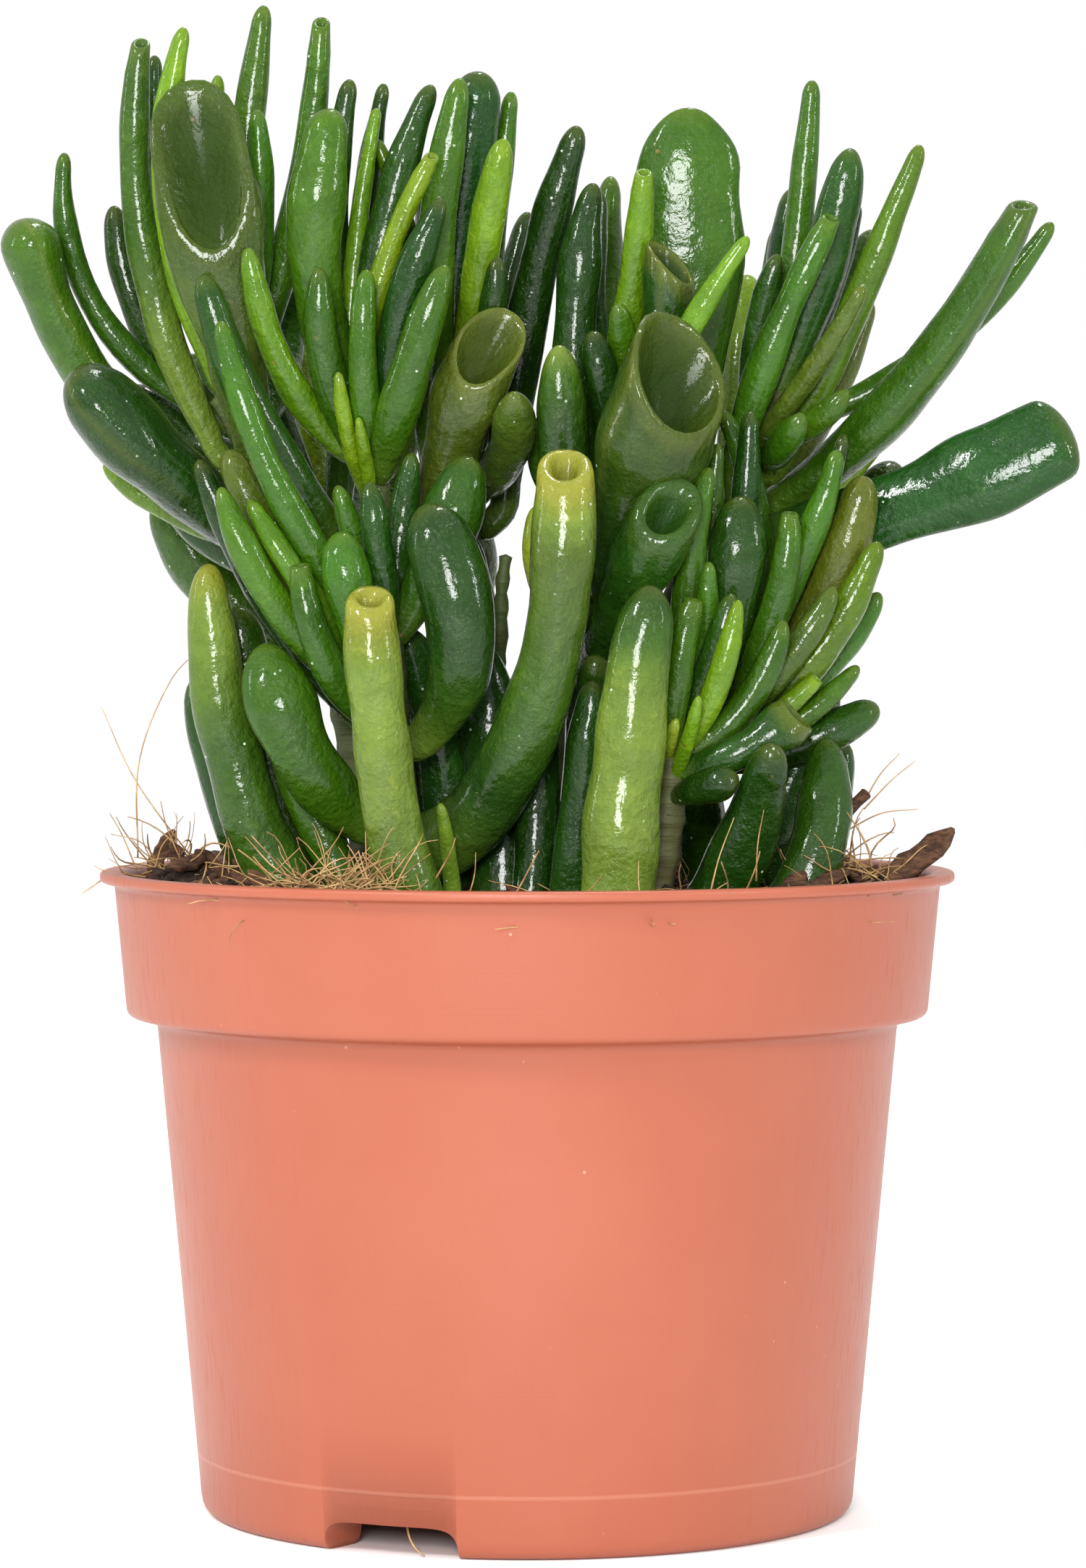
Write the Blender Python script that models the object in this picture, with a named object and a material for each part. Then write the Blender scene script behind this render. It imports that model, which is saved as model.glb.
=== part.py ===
"""Jade plant with tubular leaves, growing from several cuttings in a round plastic nursery pot.

The model's origin is the middle of the pot's foot, on the surface that the pot stands on, with +Z up
and the front towards -Y. Sizes in this file are millimetres until a mesh is written, in metres.

Places on the plant are (x, y, h): x to the right, y to the back and h above the soil's level at the
middle of the pot. The leaves are first laid out on smooth curves from their stems to their tips. Where
two would run into each other, settle() bends them apart at their feet, as they are when they grow.
"""

import math
from dataclasses import dataclass
from enum import Enum

import bmesh
import bpy
import numpy as np
from mathutils.bvhtree import BVHTree

MM = 0.001  # metres in a millimetre

# The pot, a thin moulded shell.
POT_HEIGHT = 90.0
POT_LIP_RADIUS = 60.0
SHOULDER_STEP = 4.1  # how far the collar stands out from the body
POT_DRAFT = 5.2  # degrees that the body leans outwards
POT_WALL = 1.4
LIP_THICKNESS = 1.4
LIP_OVERHANG = 2.0  # how far the lip stands out from the collar
COLLAR_HEIGHT = 20.0
COLLAR_DRAFT = 5.4  # degrees that the collar leans outwards
FOOT_LIFT = 4.6  # height of the floor's underside above the table
FOOT_RING_WIDTH = 8.0
NOTCH_WIDTH = 20.0
NOTCH_ANGLES = (-24.0, 96.0, 216.0)  # degrees from the front, to the right
DRAIN_RADIUS = 4.0
DRAIN_CIRCLE_RADIUS = 22.0
POT_SIDES = 40

# The soil, filled almost to the lip.
SOIL_BELOW_LIP = 4.4  # at the pot's wall
SOIL_DOME = 1.4  # how much higher the soil is in the middle
SOIL_LUMP = 0.9
SOIL_SIDES = 28

# Gaps between pieces that touch.
GAP = 0.3
LEAF_GAP = 0.42  # between the smooth leaves, so that their faceted sides keep GAP
FOOT_GAP = 0.35

# The plant.
LEAF_LENGTH = 1.0  # growth of every leaf's length against the lengths below
LEAF_GIRTH = 1.08  # growth of every leaf's width and depth
STEM_GIRTH = 1.0
ROOT_DEPTH = 9.0  # how far stems and rooted leaves go into the soil
LEAF_SIDES = 8
CROWN_LEAF_SIDES = 7
STEM_SIDES = 8
STEM_RINGS = 7

FRONT = (0.0, -1.0, 0.3)
BACK = (0.0, 1.0, 0.3)
LEFT = (-1.0, -0.5, 0.4)
RIGHT = (1.0, -0.5, 0.3)
UP = (0.0, -0.5, 1.0)
SIDEWAYS = (0.8, -1.0, 0.1)


@dataclass(frozen=True)
class Outline:
    """How a leaf's width changes along it.

    Attributes:
        knots: (share of the length, share of the width) pairs from the foot to the tip.
        mouth: share of the length over which an open end is cut slantwise, or 0 for a closed tip.
    """

    knots: tuple
    mouth: float = 0.0


class Form(Enum):
    """The shapes that this plant's leaves grow in."""

    FINGER = Outline(((0.0, 0.66), (0.5, 1.0), (1.0, 0.85)))
    STOUT = Outline(((0.0, 1.0), (0.4, 0.96), (1.0, 0.68)))
    PADDLE = Outline(((0.0, 0.5), (0.6, 1.0), (1.0, 0.88)))
    BLADE = Outline(((0.0, 0.45), (0.4, 0.72), (0.86, 1.0), (1.0, 0.94)))
    TUBE = Outline(((0.0, 0.66), (0.5, 1.0), (1.0, 0.86)), mouth=0.06)
    STOUT_TUBE = Outline(((0.0, 1.0), (0.35, 0.84), (0.62, 0.72), (0.86, 0.88), (1.0, 0.7)), mouth=0.1)
    TRUMPET = Outline(((0.0, 0.5), (0.6, 0.68), (0.94, 1.0), (1.0, 1.0)), mouth=0.2)
    CUP = Outline(((0.0, 0.42), (0.5, 0.76), (0.9, 1.0), (1.0, 0.96)), mouth=0.36)
    SPOON = Outline(((0.0, 0.32), (0.5, 0.66), (0.84, 1.0), (1.0, 0.8)), mouth=0.5)


class Tint(Enum):
    """Leaf colours, as linear red, green and blue."""

    DARK = (0.018, 0.075, 0.012)
    MID = (0.045, 0.17, 0.02)
    BRIGHT = (0.12, 0.31, 0.025)
    OLIVE = (0.1, 0.15, 0.035)
    PALE = (0.26, 0.36, 0.07)


@dataclass(frozen=True)
class Stem:
    """One cutting's stem.

    Attributes:
        name: what the shoot is called.
        path: three places that its line runs through, from the soil to the growing tip.
        radius: at the soil; the tip is three quarters of it.
        crown_from: h where the crown, the growing tip with its joined leaves, begins.
    """

    name: str
    path: tuple
    radius: float
    crown_from: float


@dataclass(frozen=True)
class Leaf:
    """One leaf.

    Attributes:
        name: what the leaf is called, or "" for one joined to its shoot's crown.
        stem: the shoot that it grows on, or "" for one rooted in the soil.
        root: h of its foot on the stem, or the (x, y) of its foot in the soil.
        tip: the place of its tip.
        bow: how far its middle stands off the straight line from foot to tip.
        width: its greatest width.
        depth: its greatest depth, measured the way that it faces.
        form: its shape.
        tint: its colour.
        faces: the way that its upper side or its mouth faces.
    """

    name: str
    stem: str
    root: object
    tip: tuple
    bow: tuple
    width: float
    depth: float
    form: Form = Form.FINGER
    tint: Tint = Tint.MID
    faces: tuple = FRONT


STEMS = (
    Stem("left", ((-22, 4, 0), (-28, 7, 36), (-43, 6, 70)), 3.0, 60),
    Stem("centre_left", ((-17, -2, 0), (-19, -3, 30), (-22, -3, 62)), 2.8, 52),
    Stem("middle", ((-7, 10, 0), (-8, 11, 34), (-9, 8, 64)), 2.8, 52),
    Stem("centre_right", ((5, 3, 0), (8, 4, 34), (12, 4, 64)), 3.0, 52),
    Stem("right", ((14, 11, 0), (20, 10, 36), (36, 5, 70)), 3.0, 58),
    Stem("low_right", ((14, -3, 0), (19, -5, 12), (27, -7, 27)), 2.6, 13),
    Stem("front_right", ((17, -17, 0), (19, -18, 10), (20, -19, 20)), 2.9, 11),
    Stem("front_left", ((-17, -13, 0), (-18, -13, 18), (-19, -14, 36)), 2.6, 21),
    Stem("back_left", ((-13, 24, 0), (-20, 27, 24), (-29, 31, 48)), 2.8, 33),
    Stem("back_right", ((14, 26, 0), (20, 29, 26), (30, 33, 52)), 2.8, 36),
)

LEAVES = (
    # The left shoot.
    Leaf("leaf_left_trumpet", "left", 54, (-71.5, 2, 95), (-5, 2, -5), 8.8, 8, Form.PADDLE, Tint.MID, LEFT),
    Leaf("leaf_left_fat", "left", 48, (-63, -9, 73), (0, -3, -2), 11.6, 9.5, Form.PADDLE, Tint.DARK, UP),
    Leaf("leaf_left_tall", "left", 57, (-55, 4, 120), (-6, 0, -1), 4.8, 4.4, Form.TUBE, Tint.MID),
    Leaf("", "left", 70, (-48, -1, 121), (-5, -1, 0), 4.2, 4, Form.FINGER, Tint.BRIGHT),
    Leaf("leaf_spoon", "left", 52, (-46, -7, 113), (-1, -3, 0), 13.2, 6, Form.SPOON, Tint.OLIVE),
    Leaf("", "left", 70, (-37, 7, 125), (-1, 1, 0), 4.6, 4.2, Form.FINGER, Tint.MID),
    Leaf("", "left", 68, (-29, 5, 123), (2, 1, -3), 4.4, 4.2, Form.TUBE, Tint.MID),
    Leaf("", "left", 66, (-53, 12, 119), (-4, 1, 0), 3.6, 3.4, Form.FINGER, Tint.DARK),
    Leaf("", "left", 68, (-44, 10, 116), (-1, 1, 0), 3.4, 3.2, Form.FINGER, Tint.BRIGHT),
    Leaf("", "left", 68, (-38, 1, 110), (2, -1, 0), 4.0, 3.8, Form.FINGER, Tint.MID),
    Leaf("", "left", 64, (-59, 14, 97), (-4, 2, -3), 4.6, 4.2, Form.FINGER, Tint.DARK),
    Leaf("", "left", 62, (-57, 15, 72), (0, 2, -4), 6.0, 5.4, Form.PADDLE, Tint.DARK),
    Leaf("", "left", 66, (-46, 24, 100), (-1, 3, -3), 5.4, 5.0, Form.PADDLE, Tint.MID, BACK),
    Leaf("", "left", 64, (-33, 22, 92), (1, 3, -4), 5.0, 4.8, Form.FINGER, Tint.MID, BACK),
    # The centre-left shoot.
    Leaf("", "centre_left", 61, (-26, -2, 110), (-5, -1, 0), 7.4, 6.4, Form.PADDLE, Tint.MID),
    Leaf("", "centre_left", 60, (-12, 1, 113), (-5, 1, 0), 5.2, 4.8, Form.FINGER, Tint.DARK),
    Leaf("leaf_reaching", "centre_left", 46, (-45, -11, 86), (-2, -2, -3), 5.8, 5.2, Form.FINGER, Tint.DARK),
    Leaf("", "centre_left", 61, (-40, -8, 91), (-2, -1, -2), 4.2, 4.0, Form.FINGER, Tint.BRIGHT),
    Leaf("", "centre_left", 60, (-25, 4, 115), (-3, 1, 0), 4.0, 3.6, Form.FINGER, Tint.DARK),
    Leaf("", "centre_left", 60, (-20, 6, 115), (-3, 1, 0), 3.6, 3.4, Form.FINGER, Tint.DARK),
    Leaf("", "centre_left", 60, (-13, -5, 104), (-3, -1, 0), 3.4, 3.2, Form.TUBE, Tint.BRIGHT),
    Leaf("", "centre_left", 59, (-12, -7, 97), (-3, -2, 0), 5.2, 4.8, Form.FINGER, Tint.DARK),
    Leaf("", "centre_left", 59, (-21, -9, 88), (-1, -2, 0), 4.0, 3.8, Form.FINGER, Tint.MID),
    Leaf("", "centre_left", 58, (-11, -12, 88), (-1, -3, -1), 5.6, 5.2, Form.FINGER, Tint.MID),
    Leaf("", "centre_left", 58, (-29, -7, 88), (-2, -1, 0), 4.8, 4.4, Form.FINGER, Tint.MID),
    # The middle shoot.
    Leaf("", "middle", 63, (-7, 5, 115), (-1, 1, 0), 8.2, 7.0, Form.PADDLE, Tint.DARK),
    Leaf("leaf_pointed", "middle", 47, (-11, -1, 115), (-1, -2, 0), 5.8, 4.8, Form.FINGER, Tint.MID),
    Leaf("", "middle", 61, (-3, -3, 105), (-2, -2, 0), 5.4, 5.0, Form.FINGER, Tint.BRIGHT),
    Leaf("leaf_dark_lean", "middle", 50, (8, 5, 108), (-2, 1, 0), 6.0, 5.6, Form.FINGER, Tint.DARK),
    Leaf("leaf_folded_cup", "middle", 41, (-1, -9, 85), (-1, -4, 0), 9.6, 7.4, Form.CUP, Tint.OLIVE),
    Leaf("", "middle", 62, (-2, 9, 114), (-1, 1, 0), 3.8, 3.6, Form.FINGER, Tint.MID),
    Leaf("", "middle", 60, (-4, -4, 89), (0, -2, 0), 4.2, 4.0, Form.FINGER, Tint.DARK),
    Leaf("", "middle", 54, (-1, -10, 72), (-1, -3, -1), 6.0, 5.4, Form.FINGER, Tint.OLIVE),
    Leaf("", "middle", 60, (-14, 20, 104), (-1, 2, -2), 5.4, 5.0, Form.PADDLE, Tint.MID, BACK),
    Leaf("", "middle", 60, (0, 24, 97), (0, 3, -3), 5.8, 5.0, Form.FINGER, Tint.DARK, BACK),
    # The centre-right shoot.
    Leaf("leaf_lean_right", "centre_right", 49, (12, -1, 100), (-2, -2, 0), 6.2, 5.8, Form.FINGER, Tint.DARK),
    Leaf("", "centre_right", 62, (16, -3, 101), (1, -1, 0), 4.4, 4.2, Form.TUBE, Tint.BRIGHT),
    Leaf("leaf_round_blade", "centre_right", 51, (28, 6, 112), (2, 1, -3), 15.0, 5.0, Form.PADDLE, Tint.MID),
    Leaf(
        "leaf_dark_trumpet", "centre_right", 46, (21, -6, 91), (0, -2, -2),
        7.6, 7.0, Form.TRUMPET, Tint.DARK, RIGHT,
    ),
    Leaf(
        "leaf_big_cup", "centre_right", 37, (23, -15, 79), (-1, -4, -2),
        14.0, 12, Form.CUP, Tint.OLIVE, SIDEWAYS,
    ),
    Leaf(
        "leaf_curled_cup", "centre_right", 29, (19, -16, 60), (-1, -3, -2),
        8.6, 8.0, Form.CUP, Tint.DARK, FRONT,
    ),
    Leaf(
        "leaf_bright_reach", "centre_right", 42, (28, -8, 92), (-3, -3, -1),
        3.8, 3.6, Form.FINGER, Tint.BRIGHT,
    ),
    Leaf(
        "leaf_centre_pointed", "centre_right", 34, (5, -8, 77), (-1, -3, 0),
        7.2, 6.4, Form.FINGER, Tint.OLIVE,
    ),
    Leaf("", "centre_right", 59, (9, -8, 80), (-1, -2, 0), 5.0, 4.6, Form.FINGER, Tint.DARK),
    Leaf("", "centre_right", 61, (10, 7, 99), (-2, 1, 0), 5.0, 4.4, Form.FINGER, Tint.DARK),
    Leaf("", "centre_right", 58, (15, -6, 83), (1, -2, 0), 4.4, 4.0, Form.FINGER, Tint.MID),
    Leaf("", "centre_right", 54, (1, -5, 70), (-1, -2, 0), 4.4, 4.2, Form.FINGER, Tint.MID),
    Leaf("", "centre_right", 60, (12, 21, 102), (0, 3, -2), 5.4, 5.0, Form.FINGER, Tint.MID, BACK),
    Leaf("", "centre_right", 60, (20, 18, 92), (1, 3, -2), 6.4, 4.6, Form.PADDLE, Tint.MID, BACK),
    # The right shoot.
    Leaf("leaf_open_tip", "right", 53, (43, -3, 95), (-1, -2, -1), 4.6, 4.4, Form.TUBE, Tint.MID),
    Leaf("", "right", 68, (45, 3, 105), (1, 0, 0), 6.2, 5.8, Form.FINGER, Tint.DARK),
    Leaf("", "right", 68, (41, 9, 115), (1, 1, 0), 4.0, 3.8, Form.FINGER, Tint.MID),
    Leaf("leaf_right_light", "right", 56, (56, 0, 104), (-1, -1, -1), 4.2, 4.0, Form.FINGER, Tint.BRIGHT),
    Leaf("leaf_long_reach", "right", 50, (69, -5, 96), (2, -1, -5), 7.4, 6.4, Form.TUBE, Tint.MID, UP),
    Leaf("leaf_far_right", "right", 51, (77, -9, 64), (0, -3, -3), 12.4, 6.5, Form.BLADE, Tint.DARK),
    Leaf("", "right", 65, (74, 4, 94), (3, 1, -4), 3.8, 3.6, Form.FINGER, Tint.MID),
    Leaf("", "right", 64, (33, 5, 90), (-1, 1, 0), 4.2, 4.0, Form.FINGER, Tint.DARK),
    Leaf("", "right", 66, (47, 9, 98), (1, 1, 0), 3.4, 3.2, Form.FINGER, Tint.DARK),
    Leaf("", "right", 65, (45, -6, 71), (1, -2, -2), 3.8, 3.6, Form.FINGER, Tint.MID),
    Leaf("", "right", 62, (39, -9, 67), (-1, -3, -2), 4.4, 4.2, Form.FINGER, Tint.MID),
    Leaf("", "right", 65, (50, 20, 94), (1, 3, -4), 6.0, 5.0, Form.PADDLE, Tint.MID, BACK),
    Leaf("", "right", 64, (38, 22, 100), (0, 3, -2), 5.0, 4.8, Form.FINGER, Tint.DARK, BACK),
    # The low right shoot.
    Leaf("", "low_right", 24, (47, -6, 58), (3, -1, -4), 6.4, 5.6, Form.PADDLE, Tint.OLIVE),
    Leaf("", "low_right", 25, (43, -10, 62), (2, -1, -2), 4.2, 4.0, Form.FINGER, Tint.MID),
    Leaf("", "low_right", 22, (49, -11, 50), (2, -1, -3), 5.0, 4.6, Form.FINGER, Tint.BRIGHT),
    Leaf("", "low_right", 19, (49, -3, 42), (2, 0, -3), 4.6, 4.2, Form.FINGER, Tint.MID),
    Leaf("", "low_right", 26, (37, -13, 54), (2, -2, -1), 4.2, 4.0, Form.TUBE, Tint.MID),
    Leaf("", "low_right", 26, (29, -11, 55), (0, -3, 0), 7.4, 5.6, Form.PADDLE, Tint.DARK),
    Leaf("", "low_right", 25, (25, -13, 61), (-1, -3, 0), 4.2, 4.0, Form.FINGER, Tint.MID),
    Leaf("", "low_right", 24, (31, -7, 67), (1, -1, 0), 4.2, 4.0, Form.FINGER, Tint.DARK),
    # The front-right shoot, a small rosette low in the pot.
    Leaf("", "front_right", 19, (35, -18, 38), (2, 0, -3), 4.4, 4.2, Form.FINGER, Tint.MID),
    Leaf("", "front_right", 19, (29, -21, 41), (1, -1, -2), 3.4, 3.2, Form.FINGER, Tint.BRIGHT),
    Leaf("", "front_right", 19, (23, -20, 41), (-1, -1, 0), 4.2, 4.0, Form.TUBE, Tint.MID),
    Leaf("", "front_right", 17, (38, -19, 26), (0, -2, -1), 6.6, 5.4, Form.TRUMPET, Tint.DARK),
    Leaf("", "front_right", 14, (29, -25, 17), (0, -2, 0), 4.6, 4.2, Form.PADDLE, Tint.DARK),
    # The front-left shoot.
    Leaf(
        "leaf_centre_front", "front_left", 5, (5, -24, 61), (6, -4, -7),
        9.8, 9.0, Form.STOUT_TUBE, Tint.MID,
    ),
    Leaf("leaf_curved_hook", "front_left", 20, (-14, -20, 54), (6, -5, -3), 9.4, 8.0, Form.PADDLE, Tint.DARK),
    Leaf(
        "leaf_low_left_wide", "front_left", 8, (-36, -19, 35), (-2, -4, -3),
        9.2, 7.6, Form.PADDLE, Tint.MID,
    ),
    Leaf("leaf_round_top", "front_left", 28, (-26, -19, 50), (-1, -3, -1), 6.2, 5.8, Form.PADDLE, Tint.MID),
    Leaf("", "front_left", 34, (-42, -16, 79), (-2, -3, -4), 4.4, 4.2, Form.FINGER, Tint.MID),
    Leaf("", "front_left", 30, (-41, -13, 62), (-1, -2, -3), 5.0, 4.6, Form.PADDLE, Tint.OLIVE),
    Leaf("", "front_left", 26, (-42, -17, 57), (-2, -3, -3), 4.8, 4.4, Form.FINGER, Tint.MID),
    Leaf("", "front_left", 24, (-31, -21, 47), (-2, -3, -3), 4.8, 4.4, Form.TUBE, Tint.MID),
    Leaf("", "front_left", 34, (-22, -18, 57), (0, -2, 0), 4.2, 4.0, Form.FINGER, Tint.DARK),
    Leaf("", "front_left", 35, (-8, -14, 61), (1, -1, -1), 7.4, 6.0, Form.PADDLE, Tint.MID),
    # Leaves rooted in the soil.
    Leaf("leaf_front_tube", "", (-13, -27), (-21, -29, 42), (-2, 0, 0), 8.6, 8.0, Form.STOUT_TUBE, Tint.PALE),
    Leaf("leaf_front_pale", "", (12, -28), (17, -26, 43), (-1, 0, 0), 9.6, 8.0, Form.STOUT, Tint.PALE),
    Leaf("leaf_low_left", "", (-27, -14), (-44, -14, 46), (-4, 0, -3), 8.2, 7.8, Form.STOUT, Tint.MID),
    Leaf("leaf_low_right", "", (20, -6), (41, -2, 32), (2, 0, -4), 9.0, 7.6, Form.STOUT, Tint.DARK),
    Leaf("leaf_behind_pale", "", (5, -20), (9, -21, 30), (0, 0, 0), 5.6, 5.2, Form.STOUT, Tint.DARK),
    # The two shoots at the back.
    Leaf(
        "leaf_back_left", "back_left", 30, (-54, 32, 56), (-2, 3, -4),
        8.6, 7.4, Form.PADDLE, Tint.MID, BACK,
    ),
    Leaf("leaf_back_cup", "back_left", 28, (-8, 38, 62), (2, 4, -2), 9.6, 8.4, Form.CUP, Tint.OLIVE, BACK),
    Leaf("leaf_back_tube", "back_right", 30, (6, 37, 74), (-1, 4, -2), 6.6, 6.2, Form.TUBE, Tint.MID, BACK),
    Leaf(
        "leaf_back_right", "back_right", 31, (52, 30, 62), (2, 3, -4),
        8.4, 7.4, Form.PADDLE, Tint.DARK, BACK,
    ),
)


@dataclass(frozen=True)
class Fan:
    """Leaves spread round a shoot's growing tip.

    Attributes:
        stem: the shoot that carries them.
        count: how many there are.
        compass: the first and last heading, in degrees from the right, by the back to the left.
        length: of the longest leaf.
        width: of the broadest leaf.
    """

    stem: str
    count: int
    compass: tuple
    length: float
    width: float


FANS = (
    Fan("back_left", 7, (20.0, 190.0), 46.0, 6.2),
    Fan("back_right", 7, (-10.0, 160.0), 46.0, 6.2),
)


def smoothstep(share):
    """A ramp from 0 to 1 that starts and ends level: 3 s^2 - 2 s^3."""
    share = np.clip(share, 0.0, 1.0)
    return share * share * (3.0 - 2.0 * share)


def unit(vectors):
    """The vectors at length 1."""
    return vectors / np.maximum(np.linalg.norm(vectors, axis=-1, keepdims=True), 1e-9)


# The pot and the soil.


def collar_base():
    """The height where the collar begins."""
    return POT_HEIGHT - COLLAR_HEIGHT


def collar_radius(height):
    """The pot's outside radius at a height on its collar."""
    below_lip = POT_HEIGHT - LIP_THICKNESS - height
    return POT_LIP_RADIUS - LIP_OVERHANG - below_lip * math.tan(math.radians(COLLAR_DRAFT))


def body_radius(height):
    """The pot's outside radius at a height on its body."""
    below_collar = collar_base() - height
    return collar_radius(collar_base()) - SHOULDER_STEP - below_collar * math.tan(math.radians(POT_DRAFT))


def shell_inside(inset):
    """The pot's inside, from the floor up to just under the lip, moved in by an inset.

    Args:
        inset: the gap to keep to the wall and the floor.

    Returns:
        (radius, height) pairs.
    """
    floor = FOOT_LIFT + POT_WALL + inset
    thick = POT_WALL + inset
    shoulder = collar_base() + thick
    return [
        (body_radius(floor) - thick - 2.0, floor),
        (body_radius(floor + 2.0) - thick, floor + 2.0),
        (body_radius(shoulder - 1.0) - thick, shoulder - 1.0),
        (collar_radius(shoulder + 1.0) - thick - 1.0, shoulder),
        (collar_radius(shoulder + 1.0) - thick, shoulder + 1.0),
    ]


def soil_level():
    """The height of the soil in the middle of the pot."""
    return POT_HEIGHT - SOIL_BELOW_LIP + SOIL_DOME


def soil_radius():
    """The radius of the soil's top."""
    edge = POT_HEIGHT - SOIL_BELOW_LIP
    return collar_radius(edge) - POT_WALL - GAP


def soil_rise(x, y):
    """The soil's height above its level in the middle: a dome with low lumps made of waves.

    Args:
        x: places to the right.
        y: places to the back.

    Returns:
        h at those places.
    """
    share = np.clip((x * x + y * y) / soil_radius() ** 2, 0.0, 1.0)
    waves = np.sin(0.31 * x + 1.3) * np.sin(0.27 * y + 0.4) + 0.6 * np.sin(0.55 * x - 0.48 * y)
    return -SOIL_DOME * share + SOIL_LUMP * waves * (1.0 - share)


# The stems.


def stem_line(stem, count):
    """Points along a stem, on the parabola through its three places.

    Args:
        stem: the stem.
        count: how many points.

    Returns:
        The points and the stem's radius at each.
    """
    low, middle, top = (np.array(place, float) for place in stem.path)
    share = np.linspace(0.0, 1.0, count)[:, None]
    points = (
        low * 2.0 * (share - 0.5) * (share - 1.0)
        - middle * 4.0 * share * (share - 1.0)
        + top * 2.0 * share * (share - 0.5)
    )
    radii = stem.radius * STEM_GIRTH * (1.0 - 0.25 * share[:, 0])
    return points, radii


def stem_at(stem, height):
    """The point of a stem at a height above the soil, and its radius there."""
    points, radii = stem_line(stem, 60)
    place = np.array([np.interp(height, points[:, 2], points[:, axis]) for axis in range(3)])
    return place, float(np.interp(height, points[:, 2], radii))


def rooted_line(points):
    """A line from the soil carried straight down to the roots' depth."""
    root = points[0] - np.array([0.0, 0.0, ROOT_DEPTH])
    return np.vstack([root, points])


STEM_LINES = {stem.name: stem_line(stem, 60) for stem in STEMS}


# Laying out the leaves.

NODES = 14  # points along each leaf's line while it settles
ROUNDS = 700
NEIGHBOUR_ROUNDS = 10
REACH = 4.0  # how far beyond touching two points are still watched
JOINED_SHARE = 0.38  # leaves of one crown may touch over this share of their length
SLIDE = 0.6  # how easily a foot slides on its stem, against how easily a leaf bends


def spread(fan, stem):
    """The leaves of a fan, by the golden angle from the steepest to the lowest.

    Args:
        fan: the fan.
        stem: its stem.

    Returns:
        The leaves.
    """
    tip = np.array(stem.path[2], float)
    golden = 0.618
    leaves = []
    for index in range(fan.count):
        share = (index + 0.5) / fan.count
        turn = (index * golden + 0.3) % 1.0
        heading = math.radians(fan.compass[0] + (fan.compass[1] - fan.compass[0]) * turn)
        rise = math.radians(82.0 - 50.0 * share)
        length = fan.length * (1.0 - 0.28 * share)
        run = length * math.cos(rise)
        end = tip + np.array([run * math.cos(heading), run * math.sin(heading), length * math.sin(rise)])
        width = fan.width * (0.7 + 0.3 * ((index * 2) % 3) / 2.0)
        bow = (run * 0.08 * math.cos(heading), run * 0.08 * math.sin(heading), -2.0)
        form = (Form.FINGER, Form.TUBE, Form.PADDLE)[index % 3]
        tint = (Tint.MID, Tint.DARK, Tint.BRIGHT, Tint.OLIVE)[index % 4]
        root = stem.path[2][2] - 1.0 - 8.0 * share
        leaves.append(Leaf("", fan.stem, root, tuple(end), bow, width, 0.9 * width, form, tint, BACK))
    return leaves


def taper(form, share):
    """A form's share of the full width at shares of the length, before its ends are rounded."""
    knots = form.value.knots
    result = np.zeros_like(share)
    for (start, low), (end, high) in zip(knots, knots[1:]):
        inside = (share >= start) & (share <= end)
        part = low + (high - low) * smoothstep((share - start) / (end - start))
        result = np.where(inside, part, result)
    return result


def rounding(share, length, radius, form):
    """How a leaf closes towards its ends: a quarter circle as deep as the leaf's radius.

    Args:
        share: shares of the length.
        length: the leaf's length.
        radius: its half width.
        form: its form; an open end isn't rounded.

    Returns:
        Factors from 0 to 1.
    """
    foot = np.clip(share * length / (radius * form.value.knots[0][1]), 0.0, 1.0)
    factor = np.sqrt(1.0 - (1.0 - foot) ** 2)
    if not form.value.mouth:
        tip = np.clip((1.0 - share) * length / (radius * form.value.knots[-1][1]), 0.0, 1.0)
        factor = factor * np.sqrt(1.0 - (1.0 - tip) ** 2)
    return factor


@dataclass
class Layout:
    """Every leaf's line and girth as arrays, one row to a leaf.

    Attributes:
        leaves: the leaves.
        points: (leaf, node, 3) places.
        steps: (leaf, node - 1) distances between a leaf's neighbouring nodes.
        half: (leaf, node, 2) half width and half depth.
        faces: (leaf, 3) the way each leaf faces.
    """

    leaves: list
    points: np.ndarray
    steps: np.ndarray
    half: np.ndarray
    faces: np.ndarray


def stem_named(name):
    """The stem with a name."""
    return next(stem for stem in STEMS if stem.name == name)


def foot_of(leaf):
    """Where a leaf's foot starts, before anything settles."""
    if not leaf.stem:
        return np.array([leaf.root[0], leaf.root[1], -ROOT_DEPTH])
    centre, radius = stem_at(stem_named(leaf.stem), leaf.root)
    if not leaf.name:
        return centre
    away = np.array(leaf.tip, float) + 2.0 * np.array(leaf.bow, float) - centre
    away[2] = 0.0
    return centre + unit(away) * (radius + FOOT_GAP)


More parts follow.
